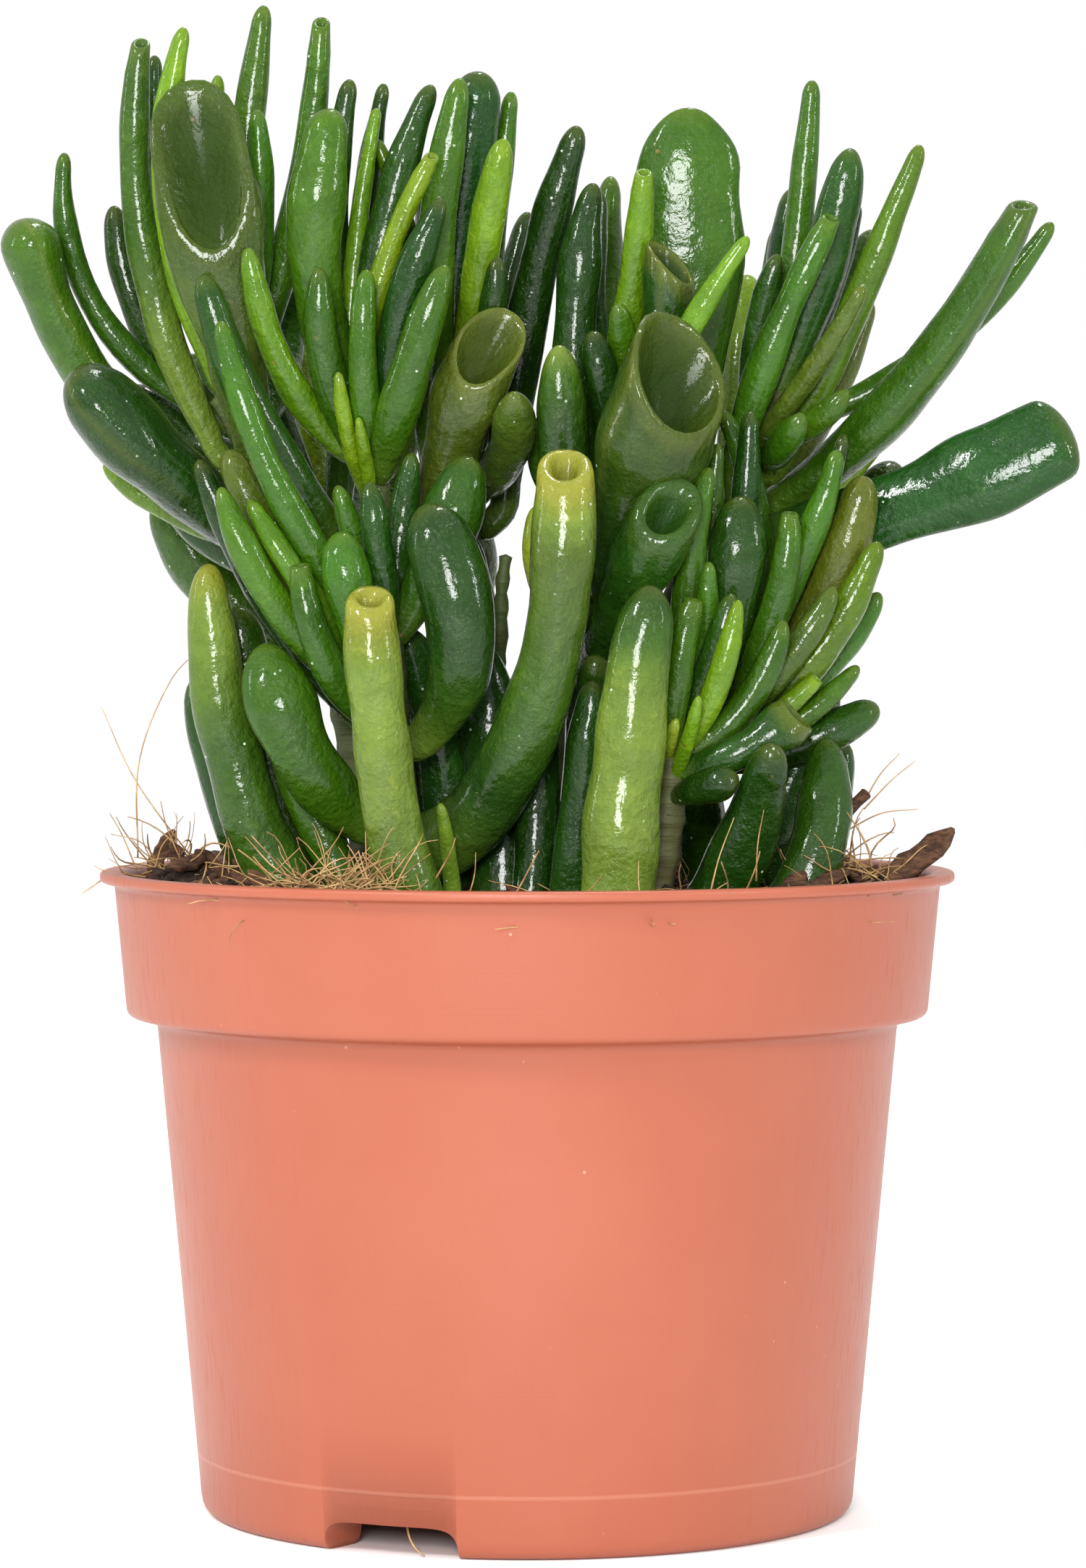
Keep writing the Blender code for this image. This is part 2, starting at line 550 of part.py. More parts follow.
def lay_out(leaves):
    """Each leaf on the parabola through its foot, its bowed middle and its tip.

    Args:
        leaves: the leaves.

    Returns:
        The layout.
    """
    share = np.linspace(0.0, 1.0, NODES)[:, None]
    points = []
    half = []
    for leaf in leaves:
        foot = foot_of(leaf)
        start = foot if leaf.stem else foot + np.array([0.0, 0.0, ROOT_DEPTH])
        reach = (np.array(leaf.tip, float) - start) * LEAF_LENGTH
        tip = start + reach
        bend = 4.0 * share * (1.0 - share) * np.array(leaf.bow, float) * LEAF_LENGTH
        line = foot + share * (tip - foot) + bend
        points.append(line)
        length = np.linalg.norm(np.diff(line, axis=0), axis=1).sum()
        size = np.array([leaf.width, leaf.depth]) * 0.5 * LEAF_GIRTH
        girth = taper(leaf.form, share[:, 0]) * rounding(share[:, 0], length, size[0], leaf.form)
        half.append(girth[:, None] * size)
    points = np.array(points)
    steps = np.linalg.norm(np.diff(points, axis=1), axis=2)
    faces = np.array([leaf.faces for leaf in leaves], float)
    return Layout(leaves, points, steps, np.array(half), faces)


def frames(points, faces):
    """Directions along, across and out of each leaf at its nodes.

    Args:
        points: (leaf, node, 3) places.
        faces: (leaf, 3) the way each leaf faces.

    Returns:
        Unit vectors along the leaf, across its width and out of its face.
    """
    along = unit(np.gradient(points, axis=1))
    facing = np.broadcast_to(faces[:, None, :], points.shape)
    out = unit(facing - (facing * along).sum(-1, keepdims=True) * along)
    return along, np.cross(along, out), out


def support(half, across, out, direction):
    """How far an elliptical section reaches in a direction."""
    wide = half[..., 0] * (across * direction).sum(-1)
    deep = half[..., 1] * (out * direction).sum(-1)
    return np.sqrt(wide * wide + deep * deep)


def stem_balls():
    """Every stem as a row of balls: places, radii and the stem each belongs to."""
    places, radii, owners = [], [], []
    for index, stem in enumerate(STEMS):
        points, sizes = stem_line(stem, 40)
        places.append(points)
        radii.append(sizes)
        owners.append(np.full(len(points), index))
    return np.vstack(places), np.concatenate(radii), np.concatenate(owners)


def settle(layout):
    """Bends the leaves apart where they would touch, with their lengths kept.

    Each touching pair of points asks to be moved apart. A leaf answers with the smooth bend that
    suits its points best: a slide of the foot on its stem, a swing and a curl.

    Args:
        layout: the layout, whose points are changed.
    """
    leaves = layout.leaves
    count = len(leaves)
    names = [stem.name for stem in STEMS]
    owner = np.array([names.index(leaf.stem) if leaf.stem else -1 - i for i, leaf in enumerate(leaves)])
    joined = np.array([bool(leaf.stem) and not leaf.name for leaf in leaves])
    rooted = np.array([not leaf.stem for leaf in leaves])
    share = np.linspace(0.0, 1.0, NODES)
    basis = np.stack([np.full(NODES, SLIDE), share, share**2], axis=1)
    anchored = basis.copy()
    anchored[:, 0] = 0.0
    bases = np.where(rooted[:, None, None], anchored, basis)
    balls, ball_radii, ball_owner = stem_balls()
    row = np.repeat(np.arange(count), NODES)
    node = np.tile(np.arange(NODES), count)
    near_foot = share[node] < JOINED_SHARE
    pairs = None
    for turn in range(ROUNDS):
        along, across, out = frames(layout.points, layout.faces)
        flat = layout.points.reshape(-1, 3)
        half = layout.half.reshape(-1, 2)
        wide = across.reshape(-1, 3)
        deep = out.reshape(-1, 3)
        if turn % NEIGHBOUR_ROUNDS == 0:
            pairs = near_pairs(flat, half, row, owner, joined, near_foot)
            stem_pairs = near_stems(flat, half, row, node, owner, joined, balls, ball_radii, ball_owner)
        push = np.zeros_like(flat)
        touches = np.zeros(len(flat))
        first, second, gap = pairs
        between = flat[second] - flat[first]
        distance = np.linalg.norm(between, axis=1)
        direction = between / np.maximum(distance, 1e-6)[:, None]
        need = (
            support(half[first], wide[first], deep[first], direction)
            + support(half[second], wide[second], deep[second], direction)
            + gap
        )
        short = np.maximum(need - distance, 0.0)
        move = 0.5 * short[:, None] * direction
        np.add.at(push, first, -move)
        np.add.at(push, second, move)
        np.add.at(touches, first, short > 0.0)
        np.add.at(touches, second, short > 0.0)
        point, ball = stem_pairs
        between = flat[point] - balls[ball]
        distance = np.linalg.norm(between, axis=1)
        direction = between / np.maximum(distance, 1e-6)[:, None]
        need = ball_radii[ball] + support(half[point], wide[point], deep[point], direction) + LEAF_GAP
        short = np.maximum(need - distance, 0.0)
        np.add.at(push, point, short[:, None] * direction)
        np.add.at(touches, point, short > 0.0)
        ground = soil_rise(flat[:, 0], flat[:, 1]) + half.max(axis=1) + LEAF_GAP
        buried = np.maximum(ground - flat[:, 2], 0.0) * ~rooted[row]
        push[:, 2] += buried
        touches += buried > 0.0
        push /= np.maximum(touches, 1.0)[:, None] ** 0.6
        weight = np.where(touches > 0.0, 1.0, 0.04).reshape(count, NODES)
        wanted = push.reshape(count, NODES, 3)
        normal = np.einsum("nki,nk,nkj->nij", bases, weight, bases) + 0.02 * np.eye(3)
        right = np.einsum("nki,nk,nkd->nid", bases, weight, wanted)
        layout.points = layout.points + bases @ np.linalg.solve(normal, right)
        hold_feet(layout, joined, rooted)
    logged = np.maximum(need - distance, 0.0).max() if len(need) else 0.0
    print(f"settled {count} leaves; stems are short of {logged:.2f} mm at most")


def near_pairs(flat, half, row, owner, joined, near_foot):
    """Pairs of points on different leaves that are close enough to watch.

    Args:
        flat: the points.
        half: their half widths and depths.
        row: the leaf of each point.
        owner: the stem of each leaf.
        joined: whether each leaf is joined to its crown.
        near_foot: whether each point is near its leaf's foot.

    Returns:
        The first points, the second points and the gap that each pair keeps.
    """
    size = half.max(axis=1)
    reach = size[:, None] + size[None, :] + REACH
    distance = np.linalg.norm(flat[:, None, :] - flat[None, :, :], axis=2)
    first, second = np.nonzero(np.triu(distance < reach, 1))
    apart = row[first] != row[second]
    first, second = first[apart], second[apart]
    crown = (owner[row[first]] == owner[row[second]]) & joined[row[first]] & joined[row[second]]
    grown = crown & near_foot[first] & near_foot[second]
    first, second, crown = first[~grown], second[~grown], crown[~grown]
    return first, second, np.where(crown, 0.15, LEAF_GAP)


def near_stems(flat, half, row, node, owner, joined, balls, ball_radii, ball_owner):
    """Pairs of a leaf's point and a stem's ball that are close enough to watch.

    Args:
        flat: the points.
        half: their half widths and depths.
        row: the leaf of each point.
        node: the place of each point on its leaf.
        owner: the stem of each leaf.
        joined: whether each leaf is joined to its crown.
        balls: the places of the balls.
        ball_radii: their radii.
        ball_owner: the stem of each.

    Returns:
        The points and the balls.
    """
    reach = half.max(axis=1)[:, None] + ball_radii[None, :] + REACH
    distance = np.linalg.norm(flat[:, None, :] - balls[None, :, :], axis=2)
    point, ball = np.nonzero(distance < reach)
    own = owner[row[point]] == ball_owner[ball]
    watched = ~(own & (joined[row[point]] | (node[point] == 0)))
    return point[watched], ball[watched]


def hold_feet(layout, joined, rooted):
    """Puts each foot back on its stem and each leaf back to its length.

    Args:
        layout: the layout, whose points are changed.
        joined: whether each leaf is joined to its crown.
        rooted: whether each leaf grows from the soil.
    """
    for index, leaf in enumerate(layout.leaves):
        if rooted[index]:
            continue
        stem = stem_named(leaf.stem)
        line, radii = STEM_LINES[stem.name]
        foot = layout.points[index, 0]
        if joined[index]:
            allowed = line[:, 2] > stem.crown_from + 2.5
            line, radii = line[allowed], radii[allowed]
        nearest = np.argmin(((line - foot) ** 2).sum(axis=1))
        if joined[index]:
            layout.points[index, 0] = line[nearest]
        else:
            out = foot - line[nearest]
            layout.points[index, 0] = line[nearest] + unit(out) * (radii[nearest] + FOOT_GAP)
    for node in range(1, NODES):
        step = unit(layout.points[:, node] - layout.points[:, node - 1])
        layout.points[:, node] = layout.points[:, node - 1] + step * layout.steps[:, node - 1, None]


# Meshes.


def spline(points, share):
    """Points on a smooth line through evenly spaced points (Catmull-Rom).

    Args:
        points: the line's points.
        share: shares of the line.

    Returns:
        A point for each share.
    """
    before = 2.0 * points[0] - points[1]
    after = 2.0 * points[-1] - points[-2]
    padded = np.vstack([before, points, after])
    place = np.clip(np.asarray(share, float), 0.0, 1.0) * (len(points) - 1)
    index = np.minimum(place.astype(int), len(points) - 2)
    part = (place - index)[..., None]
    a, b, c, d = (padded[index + offset] for offset in range(4))
    return 0.5 * (
        2.0 * b
        + (c - a) * part
        + (2.0 * a - 5.0 * b + 4.0 * c - d) * part**2
        + (3.0 * b - a - 3.0 * c + d) * part**3
    )


def tube_mesh(rings, start, end):
    """A closed tube from rings of points and a pole at each end.

    Args:
        rings: (ring, side, 3) points.
        start: the pole before the first ring.
        end: the pole after the last ring.

    Returns:
        The vertices and faces, which face outwards where the rings turn right-handed about the way
        from start to end.
    """
    count, sides, _ = rings.shape
    vertices = np.vstack([start, rings.reshape(-1, 3), end])
    faces = []
    last = len(vertices) - 1
    for side in range(sides):
        after = (side + 1) % sides
        faces.append((0, 1 + after, 1 + side))
        for ring in range(count - 1):
            low, high = 1 + ring * sides, 1 + (ring + 1) * sides
            faces.append((low + side, low + after, high + after, high + side))
        final = 1 + (count - 1) * sides
        faces.append((final + side, final + after, last))
    return vertices, faces


def leaf_mesh(leaf, line, sides, middles, grow=0.0):
    """A leaf's closed skin along its settled line.

    A closed tip ends in two rings and a pole. An open one ends in a slanted lip: the share of the
    length at which each side ends falls from 1 at the back to 1 - mouth at the face. A smaller ring
    and a pole behind the lip make the hollow.

    Args:
        leaf: the leaf.
        line: its line's points.
        sides: how many points in a ring.
        middles: how many rings between its two ends.
        grow: how much thicker the skin is made, for a cutter.

    Returns:
        The vertices and faces.
    """
    length = np.linalg.norm(np.diff(line, axis=0), axis=1).sum()
    size = np.array([leaf.width, leaf.depth]) * 0.5 * LEAF_GIRTH
    mouth = leaf.form.value.mouth
    foot_radius = size[0] * leaf.form.value.knots[0][1]
    tip_radius = size[0] * leaf.form.value.knots[-1][1]
    foot_ends = [0.3 * foot_radius / length, 1.15 * foot_radius / length]
    tip_ends = [1.0 - 1.1 * tip_radius / length, 1.0 - 0.28 * tip_radius / length]
    if mouth:
        tip_ends = [1.0 - 0.5 * tip_radius / length, 1.0]
    inner = np.linspace(foot_ends[1], tip_ends[0], middles + 2)[1:-1]
    shares = np.concatenate([foot_ends, inner, tip_ends])
    angles = 2.0 * np.pi * np.arange(sides) / sides + 0.5 * np.pi
    slant = 1.0 - mouth * 0.5 * (1.0 + np.sin(angles))
    places = shares[:, None] * slant[None, :]
    centres = spline(line, places)
    nudge = 1e-3
    ahead = unit(spline(line, np.minimum(places + nudge, 1.0)) - spline(line, places - nudge))
    facing = np.broadcast_to(np.array(leaf.faces, float), ahead.shape)
    out = unit(facing - (facing * ahead).sum(-1, keepdims=True) * ahead)
    across = np.cross(ahead, out)
    girth = taper(leaf.form, shares) * rounding(shares, length, size[0], leaf.form)
    wide = (girth * size[0] + grow)[:, None, None] * np.cos(angles)[None, :, None]
    deep = (girth * size[1] + grow)[:, None, None] * np.sin(angles)[None, :, None]
    rings = centres + wide * across + deep * out
    start = line[0]
    if not mouth:
        return tube_mesh(rings, start, line[-1])
    lip = rings[-1]
    middle = lip.mean(axis=0)
    depth = min(0.55 * tip_radius, 0.09 * length)
    sink = depth * ahead[-1].mean(axis=0) + 0.3 * mouth * size[1] * out[-1].mean(axis=0)
    inner_ring = middle + 0.66 * (lip - middle) - 0.6 * sink
    rings = np.concatenate([rings, inner_ring[None]])
    return tube_mesh(rings, start, middle - 1.25 * sink)


def stem_mesh(stem, low, high, grow=0.0):
    """A stem's closed skin between two heights, with rounded ends.

    Args:
        stem: the stem.
        low: h where it begins, or below the soil for the roots' depth.
        high: h where it ends.
        grow: how much thicker the skin is made, for a cutter.

    Returns:
        The vertices and faces.
    """
    points, radii = stem_line(stem, 60)
    kept = (points[:, 2] >= max(low, 0.0)) & (points[:, 2] <= high)
    line = points[kept]
    if low < 0.0:
        line = rooted_line(line)
    shares = np.linspace(0.0, 1.0, STEM_RINGS)
    lengths = np.concatenate([[0.0], np.cumsum(np.linalg.norm(np.diff(line, axis=0), axis=1))])
    total = lengths[-1]
    radius = stem.radius * STEM_GIRTH
    ends = np.concatenate([[0.4 * radius / total], shares[1:-1], [1.0 - 0.4 * radius / total]])
    centres = np.stack([np.interp(ends * total, lengths, line[:, axis]) for axis in range(3)], axis=1)
    girth = np.interp(centres[:, 2], points[:, 2], radii) + grow
    girth[0] *= 0.8
    girth[-1] *= 0.8
    ahead = unit(np.gradient(centres, axis=0))
    across = unit(np.cross(ahead, np.array([0.0, 1.0, 0.0])))
    deep = np.cross(ahead, across)
    angles = 2.0 * np.pi * np.arange(STEM_SIDES) / STEM_SIDES
    rings = (
        centres[:, None, :]
        + girth[:, None, None] * np.cos(angles)[None, :, None] * across[:, None, :]
        + girth[:, None, None] * np.sin(angles)[None, :, None] * deep[:, None, :]
    )
    return tube_mesh(rings, line[0] - grow * ahead[0], line[-1] + grow * ahead[-1])


def clear_scene():
    """Removes every object that the scene starts with."""
    for item in list(bpy.data.objects):
        bpy.data.objects.remove(item, do_unlink=True)


def material(name, colour, roughness):
    """A Principled material, made once for each name.

    Args:
        name: the material's name.
        colour: linear red, green and blue.
        roughness: from 0 to 1.

    Returns:
        The material.
    """
    found = bpy.data.materials.get(name)
    if found:
        return found
    made = bpy.data.materials.new(name)
    made.use_nodes = True
    shader = made.node_tree.nodes["Principled BSDF"]
    shader.inputs["Base Color"].default_value = (*colour, 1.0)
    shader.inputs["Roughness"].default_value = roughness
    shader.inputs["Metallic"].default_value = 0.0
    made.diffuse_color = (*colour, 1.0)
    return made


def place(name, vertices, faces, lift, look):
    """Adds a closed mesh as an object.

    Args:
        name: the object's name.
        vertices: its points, in millimetres.
        faces: its faces.
        lift: how far it is raised, in millimetres.
        look: its material.

    Returns:
        The object.
    """
    mesh = bpy.data.meshes.new(name)
    raised = (np.asarray(vertices, float) + np.array([0.0, 0.0, lift])) * MM
    mesh.from_pydata(raised.tolist(), [], [tuple(face) for face in faces])
    skin = bmesh.new()
    skin.from_mesh(mesh)
    bmesh.ops.recalc_face_normals(skin, faces=skin.faces)
    skin.to_mesh(mesh)
    skin.free()
    mesh.materials.append(look)
    mesh.shade_smooth()
    item = bpy.data.objects.new(name, mesh)
    bpy.context.collection.objects.link(item)
    return item


def tool(name, vertices, faces, lift, look):
    """Adds a closed mesh that only cuts or joins, hidden from the build."""
    item = place(name, vertices, faces, lift, look)
    item.hide_render = True
    item.display_type = "WIRE"
    return item


def apply_boolean(item, others, operation):
    """Cuts or joins objects into one, and removes them.

    Args:
        item: the object that stays.
        others: the objects taken from it or joined to it.
        operation: DIFFERENCE or UNION.
    """
    for other in others:
        step = item.modifiers.new(other.name, "BOOLEAN")
        step.object = other
        step.operation = operation
        step.solver = "MANIFOLD"
    graph = bpy.context.evaluated_depsgraph_get()
    result = bpy.data.meshes.new_from_object(item.evaluated_get(graph))
    item.modifiers.clear()
    item.data = result
    fill_pockets(result)
    for other in others:
        bpy.data.objects.remove(other, do_unlink=True)


def keep_gaps(pieces, cutters):
    """Cuts a socket wherever a leaf comes too close to a later piece that isn't joined to it.

    Args:
        pieces: the leaves, crowns and stems that may be cut.
        cutters: (piece, tool) pairs, where the tool is one of the piece's leaves grown by the gap.
    """
    order = [piece.name for piece in pieces]
    trees = {piece.name: skin_tree(piece) for piece in pieces}
    for owner, cutter in cutters:
        close = skin_tree(cutter)
        for piece in pieces[order.index(owner) + 1 :]:
            if close.overlap(trees[piece.name]):
                print(f"socket for {owner} in {piece.name}")
                copy = cutter.copy()
                copy.data = cutter.data.copy()
                bpy.context.collection.objects.link(copy)
                apply_boolean(piece, [copy], "DIFFERENCE")
                trees[piece.name] = skin_tree(piece)
        bpy.data.objects.remove(cutter, do_unlink=True)


def skin_tree(item):
    """The object's faces in a tree that finds where they meet another's."""
    mesh = item.data
    places = [vertex.co for vertex in mesh.vertices]
    return BVHTree.FromPolygons(places, [tuple(face.vertices) for face in mesh.polygons])


def fill_pockets(mesh):
    """Removes the walls of pockets closed in between joined leaves, which leaves them solid.

    Args:
        mesh: the mesh, whose largest shell is kept.
    """
    skin = bmesh.new()
    skin.from_mesh(mesh)
    left = set(skin.verts)
    shells = []
    while left:
        shell = set()
        front = [left.pop()]
        while front:
            vertex = front.pop()
            shell.add(vertex)
            for edge in vertex.link_edges:
                other = edge.other_vert(vertex)
                if other in left:
                    left.remove(other)
                    front.append(other)
        shells.append(shell)
    shells.sort(key=len)
    pockets = [vertex for shell in shells[:-1] for vertex in shell]
    bmesh.ops.delete(skin, geom=pockets, context="VERTS")
    skin.to_mesh(mesh)
    skin.free()


def turned_mesh(profile, sides):
    """A profile turned about the Z axis.

    Args:
        profile: (radius, height) pairs from pole to pole; the first and last have radius 0.
        sides: how many points in a ring.

    Returns:
        The vertices and faces.
    """
    angles = 2.0 * np.pi * np.arange(sides) / sides
    inner = np.array(profile[1:-1])
    rings = np.stack(
        [
            inner[:, 0, None] * np.cos(angles)[None, :],
            inner[:, 0, None] * np.sin(angles)[None, :],
            np.broadcast_to(inner[:, 1, None], (len(inner), sides)),
        ],
        axis=2,
    )
    start = np.array([0.0, 0.0, profile[0][1]])
    end = np.array([0.0, 0.0, profile[-1][1]])
    return tube_mesh(rings, start, end)


def rounded_slab(width, height, length, round_off):
    """A slab along +X from the origin, standing across Y, whose upper edges are rounded.

    Args:
        width: across Y.
        height: from below the table up to its top.
        length: along X.
        round_off: radius of the two upper edges.

    Returns:
        The vertices and faces.
    """
    below = -2.0
    side = 0.5 * width - round_off
    corners = [(-0.5 * width, below)]
    for middle, start in ((-side, math.pi), (side, 0.5 * math.pi)):
        for step in range(4):
            angle = start - step * math.pi / 6.0
            across = middle + round_off * math.cos(angle)
            corners.append((across, height - round_off + round_off * math.sin(angle)))
    corners.append((0.5 * width, below))
    count = len(corners)
    vertices = [(end, across, up) for end in (0.0, length) for across, up in corners]
    faces = [tuple(range(count)), tuple(reversed(range(count, 2 * count)))]
    for index in range(count):
        after = (index + 1) % count
        faces.append((index, index + count, after + count, after))
    return np.array(vertices), faces


def make_pot():
    """The pot: a tapered shell with a collar, a lip, a raised floor, three notches and drain holes."""
    plastic = material("terracotta_plastic", (0.62, 0.17, 0.09), 0.42)
    shoulder = collar_base()
    lip_low = POT_HEIGHT - LIP_THICKNESS
    foot_radius = body_radius(0.0)
    ring_inside = foot_radius - FOOT_RING_WIDTH
    outside = [
        (0.0, FOOT_LIFT),
        (ring_inside - 1.5, FOOT_LIFT),
        (ring_inside - 0.5, FOOT_LIFT - 1.0),
        (ring_inside + 0.3, 0.7),
        (ring_inside + 1.2, 0.0),
        (foot_radius - 1.6, 0.0),
        (foot_radius - 0.5, 0.5),
        (body_radius(2.0), 2.0),
        (body_radius(shoulder - 1.2), shoulder - 1.2),
        (body_radius(shoulder) + 0.6, shoulder - 0.3),
        (collar_radius(shoulder) - 0.8, shoulder),
        (collar_radius(shoulder + 0.8), shoulder + 0.8),
        (collar_radius(lip_low - 0.6), lip_low - 0.6),
        (collar_radius(lip_low) + 0.5, lip_low),
        (POT_LIP_RADIUS - 0.5, lip_low),
        (POT_LIP_RADIUS, lip_low + 0.5 * LIP_THICKNESS),
        (POT_LIP_RADIUS - 0.5, POT_HEIGHT),
        (collar_radius(lip_low) - POT_WALL + 0.6, POT_HEIGHT),
        (collar_radius(lip_low) - POT_WALL, POT_HEIGHT - 0.7),
    ]
    inside = [*reversed(shell_inside(0.0)), (0.0, FOOT_LIFT + POT_WALL)]
    vertices, faces = turned_mesh(outside + inside, POT_SIDES)
    pot = place("pot", vertices, faces, 0.0, plastic)
    cutters = []
    for angle in NOTCH_ANGLES:
        heading = math.radians(angle - 90.0)
        slab, slab_faces = rounded_slab(NOTCH_WIDTH, FOOT_LIFT - 0.4, foot_radius + 4.0, 2.0)
        turn = np.array([[math.cos(heading), -math.sin(heading)], [math.sin(heading), math.cos(heading)]])
        slab[:, :2] = slab[:, :2] @ turn.T
        cutters.append(tool(f"notch_{angle:.0f}", slab, slab_faces, 0.0, plastic))
        over = FOOT_LIFT + POT_WALL + 2.0
        drain = [(0.0, 1.0), (DRAIN_RADIUS, 1.0), (DRAIN_RADIUS, over), (0.0, over)]
        points, drain_faces = turned_mesh(drain, 12)
        middle = np.array([math.cos(heading), math.sin(heading), 0.0]) * DRAIN_CIRCLE_RADIUS
        cutters.append(tool(f"drain_{angle:.0f}", points + middle, drain_faces, 0.0, plastic))
    apply_boolean(pot, cutters, "DIFFERENCE")


def make_soil(cutters):
    """The soil: fills the pot to just below its lip, with a socket round everything rooted in it.

    Args:
        cutters: objects a gap thicker than what stands in the soil.
    """
    peat = material("potting_soil", (0.03, 0.018, 0.012), 0.95)
    side = shell_inside(GAP)
    edge = POT_HEIGHT - SOIL_BELOW_LIP
    profile = [(0.0, side[0][1]), *side, (soil_radius(), edge)]
    shares = (0.85, 0.68, 0.5, 0.32, 0.15)
    angles = 2.0 * np.pi * np.arange(SOIL_SIDES) / SOIL_SIDES
    rings = [
        np.stack([radius * np.cos(angles), radius * np.sin(angles), np.full(SOIL_SIDES, height)], axis=1)
        for radius, height in profile[1:]
    ]
    for share in shares:
        x = soil_radius() * share * np.cos(angles)
        y = soil_radius() * share * np.sin(angles)
        rings.append(np.stack([x, y, soil_level() + soil_rise(x, y)], axis=1))
    start = np.array([0.0, 0.0, profile[0][1]])
    end = np.array([0.0, 0.0, soil_level() + float(soil_rise(np.array(0.0), np.array(0.0)))])
    vertices, faces = tube_mesh(np.array(rings), start, end)
    soil = place("soil", vertices, faces, 0.0, peat)
    apply_boolean(soil, cutters, "DIFFERENCE")


def make_stems():
    """The stems below their crowns.

    Returns:
        The stems, and cutters for the soil.
    """
    bark = material("green_stem", (0.13, 0.16, 0.06), 0.55)
    stems = []
    cutters = []
    for stem in STEMS:
        vertices, faces = stem_mesh(stem, -1.0, stem.crown_from - GAP)
        stems.append(place(f"stem_{stem.name}", vertices, faces, soil_level(), bark))
        vertices, faces = stem_mesh(stem, -1.0, stem.crown_from - GAP, grow=GAP)
        cutters.append(tool(f"socket_{stem.name}", vertices, faces, soil_level(), bark))
    return stems, cutters


def make_leaves(stems):
    """Every leaf, alone or joined to its shoot's crown.

    Args:
        stems: the stems that the leaves grow on.

    Returns:
        Cutters for the soil.
    """
    leaves = list(LEAVES)
    for fan in FANS:
        leaves += spread(fan, stem_named(fan.stem))
    layout = lay_out(leaves)
    settle(layout)
    crowns = {}
    single = []
    grown = []
    cutters = []
    for leaf, line in zip(leaves, layout.points):
        tint = material(f"leaf_{leaf.tint.name.lower()}", leaf.tint.value, 0.3)
        if leaf.name:
            vertices, faces = leaf_mesh(leaf, line, LEAF_SIDES, 3)
            single.append(place(leaf.name, vertices, faces, soil_level(), tint))
            vertices, faces = leaf_mesh(leaf, line, LEAF_SIDES, 3, grow=0.8 * GAP)
            grown.append((leaf.name, tool(f"near_{leaf.name}", vertices, faces, soil_level(), tint)))
        else:
            vertices, faces = leaf_mesh(leaf, line, CROWN_LEAF_SIDES, 1)
            joined = crowns.setdefault(leaf.stem, [])
            joined.append(tool(f"{leaf.stem}_{len(joined)}", vertices, faces, soil_level(), tint))
            vertices, faces = leaf_mesh(leaf, line, CROWN_LEAF_SIDES, 1, grow=0.8 * GAP)
            near = tool(f"near_{leaf.stem}_{len(joined)}", vertices, faces, soil_level(), tint)
            grown.append((f"crown_{leaf.stem}", near))
        if not leaf.stem:
            vertices, faces = leaf_mesh(leaf, line, LEAF_SIDES, 3, grow=GAP)
            cutters.append(tool(f"socket_{leaf.name}", vertices, faces, soil_level(), tint))
    crown_pieces = []
    for stem in STEMS:
        core, core_faces = stem_mesh(stem, stem.crown_from, stem.path[2][2] + 1.0)
        look = material("leaf_mid", Tint.MID.value, 0.3)
        crown = place(f"crown_{stem.name}", core, core_faces, soil_level(), look)
        apply_boolean(crown, crowns[stem.name], "UNION")
        crown_pieces.append(crown)
    keep_gaps(single + crown_pieces + stems, grown)
    return cutters


def main():
    """Builds the potted plant."""
    clear_scene()
    make_pot()
    stems, cutters = make_stems()
    cutters += make_leaves(stems)
    make_soil(cutters)


main()
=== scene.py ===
"""The visual model of a potted jade plant with tubular leaves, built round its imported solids.

The frame's origin is the middle of the pot's foot, +Z is up and the front is towards -Y. Sizes are
millimetres until a mesh is written, in metres. Places on the plant are (x, y, h), with h above the
soil's level at the middle of the pot.

The plant is laid out as its solids are: each leaf on a smooth line from its stem to its tip, and the
lines bent apart where two leaves would touch. The smallest leaves and everything loose on the soil are
added here. Every surface is a grid worked out from a formula, given with its function.
"""

from __future__ import annotations

import logging
import math
from dataclasses import dataclass, field
from enum import Enum
from typing import ClassVar

import bpy
import numpy as np
from numpy.typing import NDArray
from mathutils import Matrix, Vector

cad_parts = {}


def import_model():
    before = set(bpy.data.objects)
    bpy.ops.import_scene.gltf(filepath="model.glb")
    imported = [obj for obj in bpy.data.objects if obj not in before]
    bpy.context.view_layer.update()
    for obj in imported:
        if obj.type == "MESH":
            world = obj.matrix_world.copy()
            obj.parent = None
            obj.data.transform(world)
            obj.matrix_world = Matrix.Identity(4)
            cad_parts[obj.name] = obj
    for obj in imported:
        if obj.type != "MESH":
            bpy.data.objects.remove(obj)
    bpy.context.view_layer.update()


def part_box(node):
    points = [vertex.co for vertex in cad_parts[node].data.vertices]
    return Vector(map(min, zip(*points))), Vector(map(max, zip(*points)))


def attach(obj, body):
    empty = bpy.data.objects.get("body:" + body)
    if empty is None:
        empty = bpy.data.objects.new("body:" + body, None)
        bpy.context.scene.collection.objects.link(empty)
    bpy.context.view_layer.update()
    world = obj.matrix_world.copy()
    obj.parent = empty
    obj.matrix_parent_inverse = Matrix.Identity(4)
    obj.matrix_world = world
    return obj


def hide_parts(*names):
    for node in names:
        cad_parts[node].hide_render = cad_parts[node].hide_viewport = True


Array = NDArray[np.float64]
Indices = NDArray[np.int64]
Place = tuple[float, float, float]

MM = 0.001  # metres in a millimetre
SOIL_LEVEL = 87.0  # of the soil at the middle of the pot
SOIL_CLEARANCE = 0.2  # between the soil and the pot's wall
LOG = logging.getLogger("jade_plant")

